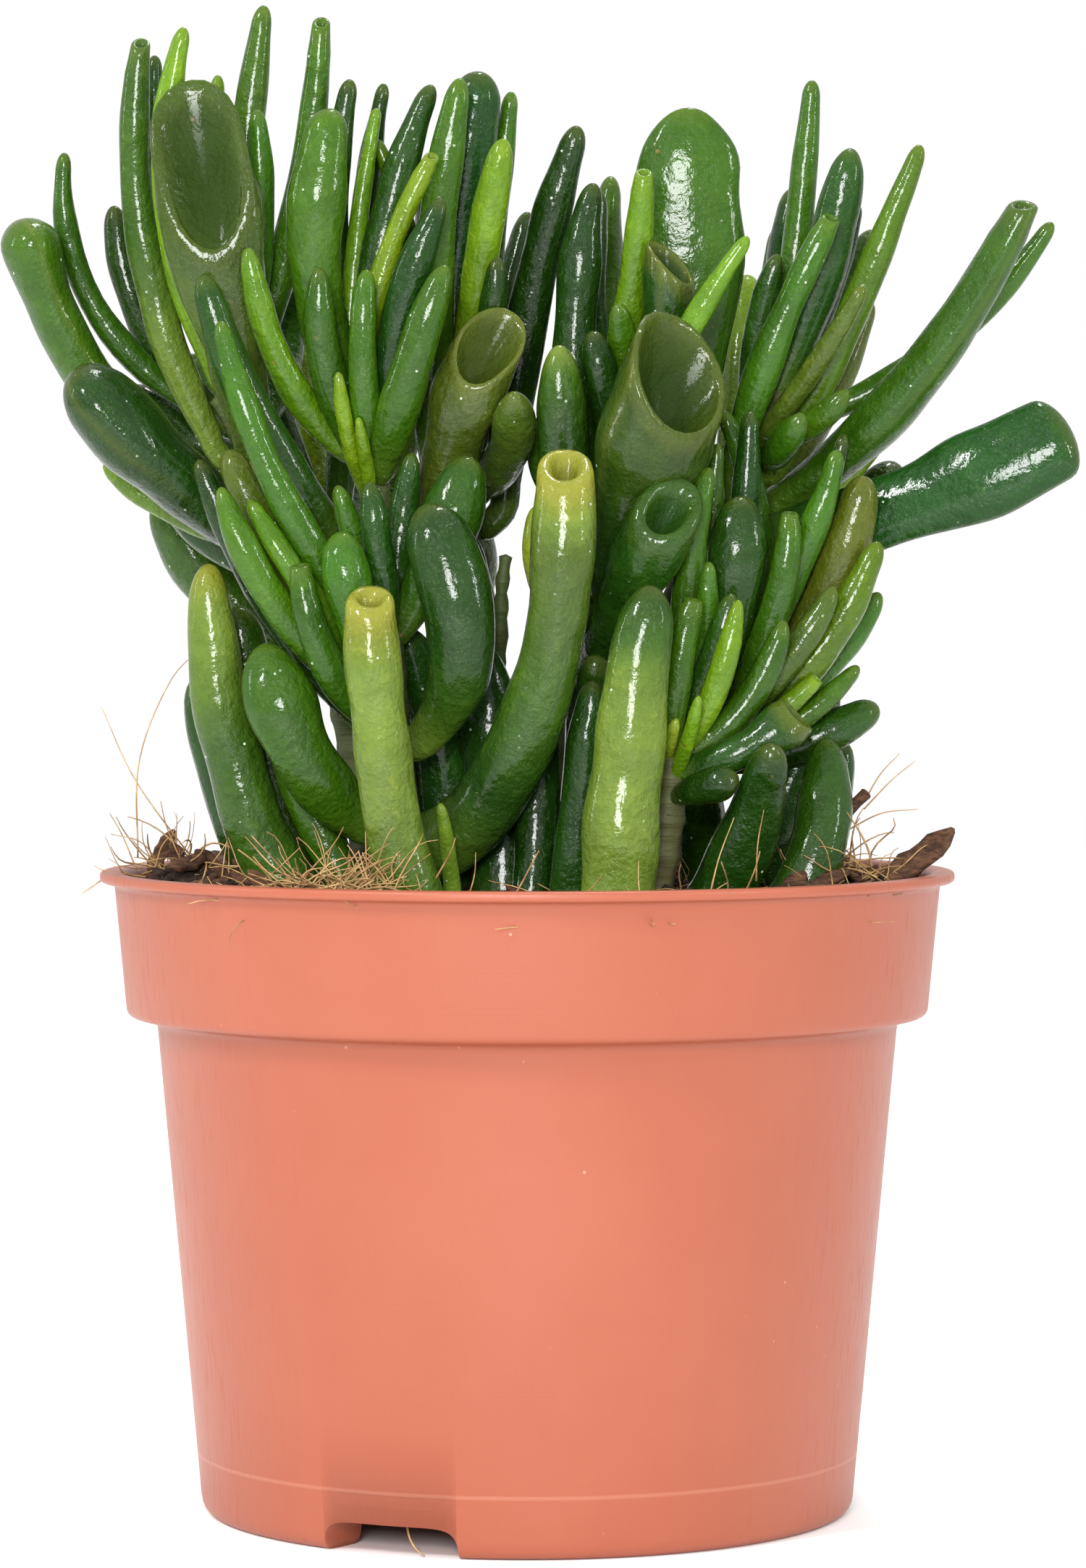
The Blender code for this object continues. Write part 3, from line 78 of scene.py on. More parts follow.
FRONT = (0.0, -1.0, 0.3)
BACK = (0.0, 1.0, 0.3)
LEFT = (-1.0, -0.5, 0.4)
RIGHT = (1.0, -0.5, 0.3)
UP = (0.0, -0.5, 1.0)
SIDEWAYS = (0.8, -1.0, 0.1)


# Shapes worked out with numpy.


def smoothstep(share: Array) -> Array:
    """A ramp from 0 to 1 that starts and ends level: 3 s^2 - 2 s^3, with s held between 0 and 1."""
    share = np.clip(share, 0.0, 1.0)
    return share * share * (3.0 - 2.0 * share)


def unit(vectors: Array) -> Array:
    """The vectors at length 1."""
    return vectors / np.maximum(np.linalg.norm(vectors, axis=-1, keepdims=True), 1e-9)


def angles_round(count: int) -> Array:
    """Evenly spaced angles round a circle, from 0."""
    return 2.0 * np.pi * np.arange(count) / count


def raised(points: Array, height: float) -> Array:
    """The points moved up."""
    return points + np.array([0.0, 0.0, height])


def spline(points: Array, share: Array) -> Array:
    """Points on a smooth line through evenly spaced points, by Catmull and Rom's cubic.

    Args:
        points: the line's points.
        share: shares of the line, of any shape.

    Returns:
        A point for each share.
    """
    before = 2.0 * points[0] - points[1]
    after = 2.0 * points[-1] - points[-2]
    padded = np.vstack([before, points, after])
    place = np.clip(np.asarray(share, float), 0.0, 1.0) * (len(points) - 1)
    index = np.minimum(place.astype(int), len(points) - 2)
    part = (place - index)[..., None]
    a, b, c, d = (padded[index + offset] for offset in range(4))
    return 0.5 * (
        2.0 * b
        + (c - a) * part
        + (2.0 * a - 5.0 * b + 4.0 * c - d) * part**2
        + (3.0 * b - a - 3.0 * c + d) * part**3
    )


def waves(points: Array, size: float, seed: int) -> Array:
    """A smooth random field: nine sine waves in random directions, summed, from about -1 to 1.

    Args:
        points: places, in the last axis.
        size: the width of a typical lump.
        seed: which field.

    Returns:
        The field at each place.
    """
    draw = np.random.default_rng(seed)
    total = np.zeros(points.shape[:-1])
    for _ in range(9):
        heading = unit(draw.normal(size=points.shape[-1])) * draw.uniform(0.6, 1.5) * math.pi / size
        total += np.sin(points @ heading + draw.uniform(0.0, 2.0 * math.pi))
    return total / 3.0


@dataclass
class Shell:
    """A mesh in the making, in millimetres.

    Attributes:
        vertices: the points.
        quads: rows of four point numbers.
        triangles: rows of three point numbers.
        marks: values at each point that a finish reads, by name; three to a point.
    """

    vertices: Array
    quads: NDArray[np.int64]
    triangles: NDArray[np.int64]
    marks: dict[str, Array] = field(default_factory=dict)

    def faced_outwards(self) -> Shell:
        """The shell with its faces turned outwards: they are flipped if it encloses a negative volume."""
        halves = np.vstack([self.triangles, self.quads[:, [0, 1, 2]], self.quads[:, [0, 2, 3]]])
        a, b, c = (self.vertices[halves[:, corner]] for corner in range(3))
        if (a * np.cross(b, c)).sum() >= 0.0:
            return self
        return Shell(self.vertices, self.quads[:, ::-1], self.triangles[:, ::-1], self.marks)

    @staticmethod
    def joined(shells: list[Shell]) -> Shell:
        """One shell of several.

        Args:
            shells: the shells, which carry the same marks.

        Returns:
            The shell.
        """
        starts = np.cumsum([0] + [len(shell.vertices) for shell in shells[:-1]])
        return Shell(
            np.vstack([shell.vertices for shell in shells]),
            np.vstack([shell.quads + start for shell, start in zip(shells, starts)]),
            np.vstack([shell.triangles + start for shell, start in zip(shells, starts)]),
            {name: np.vstack([shell.marks[name] for shell in shells]) for name in shells[0].marks},
        )


def tube(rings: Array, start: Array, end: Array) -> Shell:
    """A closed tube: rings of points, side to side and ring to ring, and a pole at each end.

    Args:
        rings: (ring, side, 3) points.
        start: the first pole.
        end: the last pole.

    Returns:
        The shell, faced outwards.
    """
    count, sides, _ = rings.shape
    vertices = np.vstack([start[None], rings.reshape(-1, 3), end[None]])
    ring, side = np.meshgrid(np.arange(count - 1), np.arange(sides), indexing="ij")
    after = (side + 1) % sides
    low = 1 + ring * sides
    quads = np.stack([low + side, low + after, low + sides + after, low + sides + side], axis=-1)
    around = np.arange(sides)
    beyond = (around + 1) % sides
    final = 1 + (count - 1) * sides
    first_fan = np.stack([np.zeros(sides, int), 1 + beyond, 1 + around], axis=-1)
    last_fan = np.stack([final + around, final + beyond, np.full(sides, len(vertices) - 1)], axis=-1)
    return Shell(vertices, quads.reshape(-1, 4), np.vstack([first_fan, last_fan])).faced_outwards()


def carried(line: Array, radii: Array, sides: int) -> Shell:
    """A circle carried along a line: centre + r cos(a) across + r sin(a) out.

    Args:
        line: the line's points.
        radii: the radius at each.
        sides: how many points in a ring.

    Returns:
        The shell, closed by a pole at each end.
    """
    ahead = unit(np.gradient(line, axis=0))
    spare = np.where(np.abs(ahead[:, 1:2]) > 0.9, [[1.0, 0.0, 0.0]], [[0.0, 1.0, 0.0]])
    across = unit(np.cross(ahead, spare))
    out = np.cross(ahead, across)
    angles = angles_round(sides)
    rings = (
        line[:, None, :]
        + radii[:, None, None] * np.cos(angles)[None, :, None] * across[:, None, :]
        + radii[:, None, None] * np.sin(angles)[None, :, None] * out[:, None, :]
    )
    start = line[0] - 0.4 * radii[0] * ahead[0]
    end = line[-1] + 0.4 * radii[-1] * ahead[-1]
    return tube(rings, start, end)


# Finishes.


class Value:
    """A shader socket that takes part in Python expressions: each operator adds a Math node."""

    def __init__(self, finish: Finish, link: bpy.types.NodeSocket) -> None:
        """Wraps a node's output."""
        self.finish = finish
        self.link = link

    def math(self, operation: str, *others: Value | float, flip: bool = False) -> Value:
        """A Math node on this value.

        Args:
            operation: the node's operation.
            others: the other operands.
            flip: whether they come first.

        Returns:
            The result.
        """
        operands = [self, *others]
        if flip:
            operands.reverse()
        return self.finish.node("ShaderNodeMath", {"operation": operation}, dict(enumerate(operands)))

    def __add__(self, other: Value | float) -> Value:
        """The sum."""
        return self.math("ADD", other)

    def __mul__(self, other: Value | float) -> Value:
        """The product."""
        return self.math("MULTIPLY", other)

    def __rsub__(self, other: float) -> Value:
        """A number less this value."""
        return self.math("SUBTRACT", other, flip=True)

    __radd__ = __add__
    __rmul__ = __mul__

    def ramp(self, low: float, high: float) -> Value:
        """0 up to low, 1 from high, and smooth between; low may be the greater."""
        if low > high:
            return 1.0 - self.ramp(high, low)
        sockets = {"Value": self, "From Min": low, "From Max": high, "To Min": 0.0, "To Max": 1.0}
        return self.finish.node("ShaderNodeMapRange", {"interpolation_type": "SMOOTHSTEP"}, sockets)


Colour = tuple[float, float, float]


class Finish:
    """A material in the making: a Principled shader and the nodes that feed it."""

    def __init__(self, name: str, **constants: float | Colour) -> None:
        """Starts the material.

        Args:
            name: its name.
            constants: sockets of the shader, with _ for a space, that are the same all over.
        """
        self.material = bpy.data.materials.new(name)
        self.material.use_nodes = True
        self.tree = self.material.node_tree
        self.shader = self.tree.nodes["Principled BSDF"]
        for socket, value in constants.items():
            self.shader.inputs[socket.replace("_", " ")].default_value = value

    def node(self, kind: str, settings: dict, sockets: dict, output: int | str = 0) -> Value:
        """Adds a node.

        Args:
            kind: the node's type.
            settings: its properties.
            sockets: values or links of its inputs, by name or number.
            output: which output to give.

        Returns:
            The output.
        """
        made = self.tree.nodes.new(kind)
        for name, value in settings.items():
            setattr(made, name, value)
        for name, value in sockets.items():
            self.feed(made.inputs[name], value)
        return Value(self, made.outputs[output])

    def feed(self, socket: bpy.types.NodeSocket, value: Value | float | tuple) -> None:
        """Links or sets one input; a colour gets its alpha."""
        if isinstance(value, Value):
            self.tree.links.new(value.link, socket)
        elif isinstance(value, tuple) and socket.type == "RGBA":
            socket.default_value = (*value, 1.0)
        else:
            socket.default_value = value

    def place(self) -> Value:
        """Object coordinates, in metres."""
        return self.node("ShaderNodeTexCoord", {}, {}, "Object")

    def mark(self, name: str) -> Value:
        """The vector stored at each point under a name."""
        return self.node("ShaderNodeAttribute", {"attribute_name": name}, {}, "Vector")

    def part(self, vector: Value, axis: int) -> Value:
        """One number of a vector."""
        return self.node("ShaderNodeSeparateXYZ", {}, {0: vector}, axis)

    def stretched(self, vector: Value, scale: Place) -> Value:
        """A vector multiplied axis by axis."""
        return self.node("ShaderNodeVectorMath", {"operation": "MULTIPLY"}, {0: vector, 1: scale})

    def noise(self, vector: Value, scale: float, detail: float = 3.0, rough: float = 0.55) -> Value:
        """Cloudy noise from 0 to 1."""
        sockets = {"Vector": vector, "Scale": scale, "Detail": detail, "Roughness": rough}
        return self.node("ShaderNodeTexNoise", {"noise_dimensions": "3D"}, sockets, "Fac")

    def cells(self, vector: Value, scale: float) -> Value:
        """The distance to the nearest of many scattered points, in cells."""
        sockets = {"Vector": vector, "Scale": scale}
        return self.node("ShaderNodeTexVoronoi", {"feature": "F1"}, sockets, "Distance")

    def mix(self, share: Value | float, low: Value | Colour, high: Value | Colour, how: str = "MIX") -> Value:
        """The low colour at share 0 and the high one at 1, or the high one blended onto the low."""
        settings = {"data_type": "RGBA", "blend_type": how, "clamp_factor": True}
        return self.node("ShaderNodeMix", settings, {0: share, 6: low, 7: high}, 2)

    def bump(self, height: Value, distance: float, strength: float = 1.0) -> Value:
        """A normal tilted by a height field."""
        sockets = {"Height": height, "Distance": distance, "Strength": strength}
        return self.node("ShaderNodeBump", {}, sockets, "Normal")

    def done(self, **links: Value) -> bpy.types.Material:
        """Feeds the shader's sockets, with _ for a space, and gives the material."""
        for socket, value in links.items():
            self.feed(self.shader.inputs[socket.replace("_", " ")], value)
        return self.material


@dataclass(frozen=True)
class LeafSkin:
    """The glossy skin of every leaf.

    Each leaf carries its own colour. The foot is paler, the margins and the lip of a mouth are bright,
    a hollow is darkened as painted shade, and fine pale dots lie in clouds over all of it.
    """

    foot: Colour = (0.1, 0.17, 0.018)
    rim: Colour = (0.22, 0.22, 0.03)
    grain: Colour = (0.14, 0.24, 0.035)
    drop: Colour = (0.62, 0.72, 0.55)
    scar: Colour = (0.2, 0.1, 0.03)
    roughness: float = 0.17

    def material(self) -> bpy.types.Material:
        """The material.

        The marks are tint (red, green, blue), way (round, along and seed, where round and along are
        millimetres over the surface) and parts (share of the length, rim, hollow, where the hollow is
        darkened as painted shade).
        """
        finish = Finish(
            "leaf_skin",
            Subsurface_Weight=0.06,
            Subsurface_Radius=(0.5, 1.0, 0.25),
            Subsurface_Scale=0.0025,
            Coat_Roughness=0.07,
            Specular_IOR_Level=0.08,
        )
        place = finish.place()
        tint = finish.mark("tint")
        way = finish.mark("way")
        parts = finish.mark("parts")
        along = finish.part(parts, 0)
        rim = finish.part(parts, 1)
        hollow = finish.part(parts, 2)
        cloud = finish.noise(place, 150.0, 3.0)
        patch = finish.noise(place, 420.0, 4.0, 0.6)
        wrinkle = finish.noise(finish.stretched(way, (0.8, 0.3, 1.0)), 1.5, 3.0)
        fine = finish.noise(place, 1500.0, 2.0)
        light = cloud.ramp(0.3, 0.75) * 0.55 + wrinkle.ramp(0.35, 0.7) * 0.12 + fine * 0.4
        deep = finish.mix(light, finish.mix(1.0, tint, (0.5, 0.56, 0.5), "MULTIPLY"), tint)
        glow = finish.mix(1.0, tint, (2.0, 1.55, 1.5), "MULTIPLY")
        body = finish.mix(patch.ramp(0.55, 0.8) * 0.4, deep, glow)
        pale_foot = along.ramp(0.32, 0.02) * 0.55
        body = finish.mix(pale_foot * (0.7 + 0.3 * wrinkle), body, self.foot)
        grain = finish.cells(place, 2400.0).ramp(0.34, 0.12)
        grain = grain * finish.noise(place, 330.0, 2.0).ramp(0.35, 0.65)
        body = finish.mix(grain * 0.2, body, self.grain)
        drop = finish.cells(place, 330.0).ramp(0.085, 0.05) * finish.noise(place, 140.0, 2.0).ramp(0.46, 0.6)
        body = finish.mix(drop * 0.75, body, self.drop)
        scar = finish.cells(place, 150.0).ramp(0.06, 0.03) * finish.noise(place, 80.0, 1.0).ramp(0.52, 0.6)
        body = finish.mix(scar * 0.75, body, self.scar)
        # Painted shade: the hollow of an open mouth is darkened towards its middle, where shade falls.
        body = finish.mix(hollow * 0.6, body, finish.mix(1.0, tint, (0.4, 0.42, 0.35), "MULTIPLY"))
        body = finish.mix(rim * 0.85, body, self.rim)
        rough = self.roughness + 0.12 * cloud.ramp(0.4, 0.8) + fine * 0.06 + drop * 0.1
        height = cloud * 0.5 + wrinkle * 0.1 + patch * 0.55 + fine * 0.16 + drop * 0.2
        normal = finish.bump(height, 0.0015, 0.85)
        gloss = finish.bump(cloud * 0.6 + patch * 0.4 + drop * 0.15, 0.0006, 0.5)
        coat = 0.36 - 0.34 * hollow
        return finish.done(
            Base_Color=body,
            Roughness=rough + 0.3 * hollow,
            Normal=normal,
            Coat_Normal=gloss,
            Coat_Weight=coat,
        )


@dataclass(frozen=True)
class StemBark:
    """A young stem's skin: dull green turning brown towards the soil, with pale rings."""

    green: Colour = (0.055, 0.085, 0.018)
    brown: Colour = (0.075, 0.045, 0.02)
    pale: Colour = (0.13, 0.15, 0.05)

    def material(self) -> bpy.types.Material:
        """The material."""
        finish = Finish("stem_bark", Specular_IOR_Level=0.4)
        place = finish.place()
        cloud = finish.noise(place, 260.0, 4.0)
        band = finish.noise(finish.stretched(place, (80.0, 80.0, 700.0)), 1.0, 3.0)
        height = finish.part(place, 2)
        low = height.ramp(0.118, 0.09)
        colour = finish.mix(low * 0.5 + cloud.ramp(0.4, 0.8) * 0.4, self.green, self.brown)
        colour = finish.mix(band.ramp(0.56, 0.7) * 0.5, colour, self.pale)
        normal = finish.bump(cloud * 0.5 + band * 0.6, 0.0012, 0.6)
        return finish.done(Base_Color=colour, Roughness=0.5 + cloud * 0.2, Normal=normal)


@dataclass(frozen=True)
class PotPlastic:
    """Thin moulded plastic in a terracotta colour: satin, finely scuffed, with a few dust specks."""

    body: Colour = (0.29, 0.071, 0.034)
    faded: Colour = (0.325, 0.092, 0.048)
    dust: Colour = (0.66, 0.36, 0.26)
    dirt: Colour = (0.12, 0.04, 0.025)

    def material(self) -> bpy.types.Material:
        """The material."""
        constants = {"Specular_IOR_Level": 0.42, "Subsurface_Weight": 0.03, "Subsurface_Scale": 0.002}
        finish = Finish("terracotta_plastic", **constants)
        place = finish.place()
        cloud = finish.noise(place, 34.0, 4.0)
        wipe = finish.noise(finish.stretched(place, (90.0, 90.0, 14.0)), 1.0, 4.0)
        scuff = finish.noise(finish.stretched(place, (1500.0, 1500.0, 160.0)), 1.0, 2.0)
        hoop = finish.noise(finish.stretched(place, (20.0, 20.0, 2400.0)), 1.0, 2.0)
        colour = finish.mix(cloud.ramp(0.35, 0.75) * 0.4 + wipe.ramp(0.5, 0.8) * 0.18, self.body, self.faded)
        speck = finish.cells(place, 190.0).ramp(0.05, 0.028) * finish.noise(place, 25.0, 1.0).ramp(0.5, 0.64)
        colour = finish.mix(speck * 0.4, colour, self.dust)
        grime = finish.cells(place, 95.0).ramp(0.034, 0.018) * finish.noise(place, 30.0, 1.0).ramp(0.55, 0.7)
        colour = finish.mix(grime * 0.65, colour, self.dirt)
        seam = finish.part(place, 2)
        line = seam.ramp(0.0081, 0.0084) * seam.ramp(0.0089, 0.0086)
        colour = finish.mix(line * 0.12, colour, self.dust)
        rough = 0.36 + scuff.ramp(0.5, 0.8) * 0.16 + cloud * 0.08 + speck * 0.2
        height = scuff * 0.12 + hoop * 0.1 + cloud * 0.6 + speck * 0.25 + line * 0.2
        return finish.done(Base_Color=colour, Roughness=rough, Normal=finish.bump(height, 0.0005, 0.32))


@dataclass(frozen=True)
class Grit:
    """A rough, dry finish: two colours in clouds, with grain.

    Attributes:
        name: the material's name.
        dark: its darker colour.
        light: its lighter colour.
        grain: clouds to the metre.
        roughness: how dull it is.
        relief: the grain's depth, in metres.
        stretch: the grain's stretch along each axis.
    """

    name: str
    dark: Colour
    light: Colour
    grain: float = 700.0
    roughness: float = 0.9
    relief: float = 0.0008
    stretch: Place = (1.0, 1.0, 1.0)

    def material(self) -> bpy.types.Material:
        """The material."""
        finish = Finish(self.name, Specular_IOR_Level=0.25)
        place = finish.stretched(finish.place(), self.stretch)
        cloud = finish.noise(place, self.grain, 5.0, 0.65)
        broad = finish.noise(place, self.grain * 0.16, 2.0)
        colour = finish.mix(cloud.ramp(0.35, 0.72) * 0.7 + broad.ramp(0.4, 0.7) * 0.3, self.dark, self.light)
        normal = finish.bump(cloud + broad, self.relief, 0.8)
        return finish.done(Base_Color=colour, Roughness=self.roughness - 0.1 * cloud, Normal=normal)


def added(name: str, data: bpy.types.ID) -> bpy.types.Object:
    """Puts a mesh, light or camera into the scene as an object."""
    item = bpy.data.objects.new(name, data)
    bpy.context.collection.objects.link(item)
    return item


def make_piece(name: str, shell: Shell, material: bpy.types.Material) -> bpy.types.Object:
    """Adds a shell to the scene as a smooth piece that rides on the object's one body.

    Args:
        name: the piece's name.
        shell: its mesh.
        material: its material.

    Returns:
        The object.
    """
    mesh = bpy.data.meshes.new(name)
    corners = np.concatenate([shell.quads.ravel(), shell.triangles.ravel()])
    sizes = np.concatenate([np.full(len(shell.quads), 4), np.full(len(shell.triangles), 3)])
    mesh.vertices.add(len(shell.vertices))
    mesh.vertices.foreach_set("co", (shell.vertices * MM).astype(np.float32).ravel())
    mesh.loops.add(len(corners))
    mesh.loops.foreach_set("vertex_index", corners.astype(np.int32))
    mesh.polygons.add(len(sizes))
    mesh.polygons.foreach_set("loop_start", np.concatenate([[0], np.cumsum(sizes)[:-1]]).astype(np.int32))
    mesh.update(calc_edges=True)
    for label, values in shell.marks.items():
        mark = mesh.attributes.new(label, "FLOAT_VECTOR", "POINT")
        mark.data.foreach_set("vector", values.astype(np.float32).ravel())
    mesh.materials.append(material)
    mesh.shade_smooth()
    piece = added(name, mesh)
    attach(piece, "root")
    LOG.info("%s: %d points, %d faces", name, len(shell.vertices), len(sizes))
    return piece


# The plant's layout.


@dataclass(frozen=True)
class Outline:
    """How a leaf's width changes along it.

    Attributes:
        knots: (share of the length, share of the width) pairs from the foot to the tip.
        mouth: share of the length over which an open end is cut slantwise, or 0 for a closed tip.
    """

    knots: tuple[tuple[float, float], ...]
    mouth: float = 0.0


class Form(Enum):
    """The shapes that this plant's leaves grow in."""

    FINGER = Outline(((0, 0.66), (0.5, 1), (1, 0.85)))
    STOUT = Outline(((0, 1), (0.4, 0.96), (1, 0.68)))
    PADDLE = Outline(((0, 0.5), (0.6, 1), (1, 0.88)))
    BLADE = Outline(((0, 0.45), (0.4, 0.72), (0.86, 1), (1, 0.94)))
    TUBE = Outline(((0, 0.66), (0.5, 1), (1, 0.86)), mouth=0.06)
    STOUT_TUBE = Outline(((0, 1), (0.35, 0.84), (0.62, 0.72), (0.86, 0.88), (1, 0.7)), mouth=0.1)
    TRUMPET = Outline(((0, 0.5), (0.6, 0.68), (0.94, 1), (1, 1)), mouth=0.2)
    CUP = Outline(((0, 0.42), (0.5, 0.76), (0.9, 1), (1, 0.96)), mouth=0.36)
    SPOON = Outline(((0, 0.32), (0.5, 0.66), (0.84, 1), (1, 0.8)), mouth=0.5)


class Tint(Enum):
    """Leaf colours, as linear red, green and blue."""

    DARK = (0.011, 0.043, 0.003)
    MID = (0.03, 0.09, 0.003)
    BRIGHT = (0.09, 0.17, 0.004)
    OLIVE = (0.053, 0.087, 0.008)
    PALE = (0.14, 0.2, 0.014)


@dataclass(frozen=True)
class Stem:
    """One cutting's stem.

    Attributes:
        name: what the shoot is called.
        path: three places on its line, from the soil to the growing tip.
        radius: at the soil; the tip is three quarters of it.
        crown_from: h where the growing tip with its joined leaves begins.
    """

    name: str
    path: tuple[Place, Place, Place]
    radius: float
    crown_from: float


@dataclass(frozen=True)
class Leaf:
    """One leaf.

    Attributes:
        name: what it is called, or "" for one of its shoot's crown.
        stem: its shoot, or "" for one rooted in the soil.
        root: h of its foot on the stem, or the foot's (x, y) in the soil.
        tip: the place of its tip.
        bow: how far its middle stands off the straight line from foot to tip.
        width: its greatest width.
        depth: its greatest depth, measured the way that it faces.
        form: its shape.
        tint: its colour.
        faces: the way of its upper side or mouth.
    """

    name: str
    stem: str
    root: float | tuple[float, float]
    tip: Place
    bow: Place
    width: float
    depth: float
    form: Form = Form.FINGER
    tint: Tint = Tint.MID
    faces: Place = FRONT


@dataclass(frozen=True)
class Fan:
    """Leaves spread round a shoot's growing tip.

    Attributes:
        stem: the shoot that carries them.
        count: how many there are.
        compass: the first and last heading, in degrees from the right, by the back to the left.
        length: of the longest leaf.
        width: of the broadest leaf.
    """

    stem: str
    count: int
    compass: tuple[float, float]
    length: float
    width: float


STEMS = (
    Stem("left", ((-22, 4, 0), (-28, 7, 36), (-43, 6, 70)), 3.0, 60),
    Stem("centre_left", ((-17, -2, 0), (-19, -3, 30), (-22, -3, 62)), 2.8, 52),
    Stem("middle", ((-7, 10, 0), (-8, 11, 34), (-9, 8, 64)), 2.8, 52),
    Stem("centre_right", ((5, 3, 0), (8, 4, 34), (12, 4, 64)), 3.0, 52),
    Stem("right", ((14, 11, 0), (20, 10, 36), (36, 5, 70)), 3.0, 58),
    Stem("low_right", ((14, -3, 0), (19, -5, 12), (27, -7, 27)), 2.6, 13),
    Stem("front_right", ((17, -17, 0), (19, -18, 10), (20, -19, 20)), 2.9, 11),
    Stem("front_left", ((-17, -13, 0), (-18, -13, 18), (-19, -14, 36)), 2.6, 21),
    Stem("back_left", ((-13, 24, 0), (-20, 27, 24), (-29, 31, 48)), 2.8, 33),
    Stem("back_right", ((14, 26, 0), (20, 29, 26), (30, 33, 52)), 2.8, 36),
)

FINGER, STOUT, PADDLE, BLADE, TUBE, STOUT_TUBE, TRUMPET, CUP, SPOON = Form
DARK, MID, BRIGHT, OLIVE, PALE = Tint


def grown(stem: str, *rows: tuple) -> list[Leaf]:
    """The leaves of a shoot or of the soil: each row is a name, if the leaf has one, and its other values."""
    named = (row if isinstance(row[0], str) else ("", *row) for row in rows)
    return [Leaf(name, stem, *values) for name, *values in named]


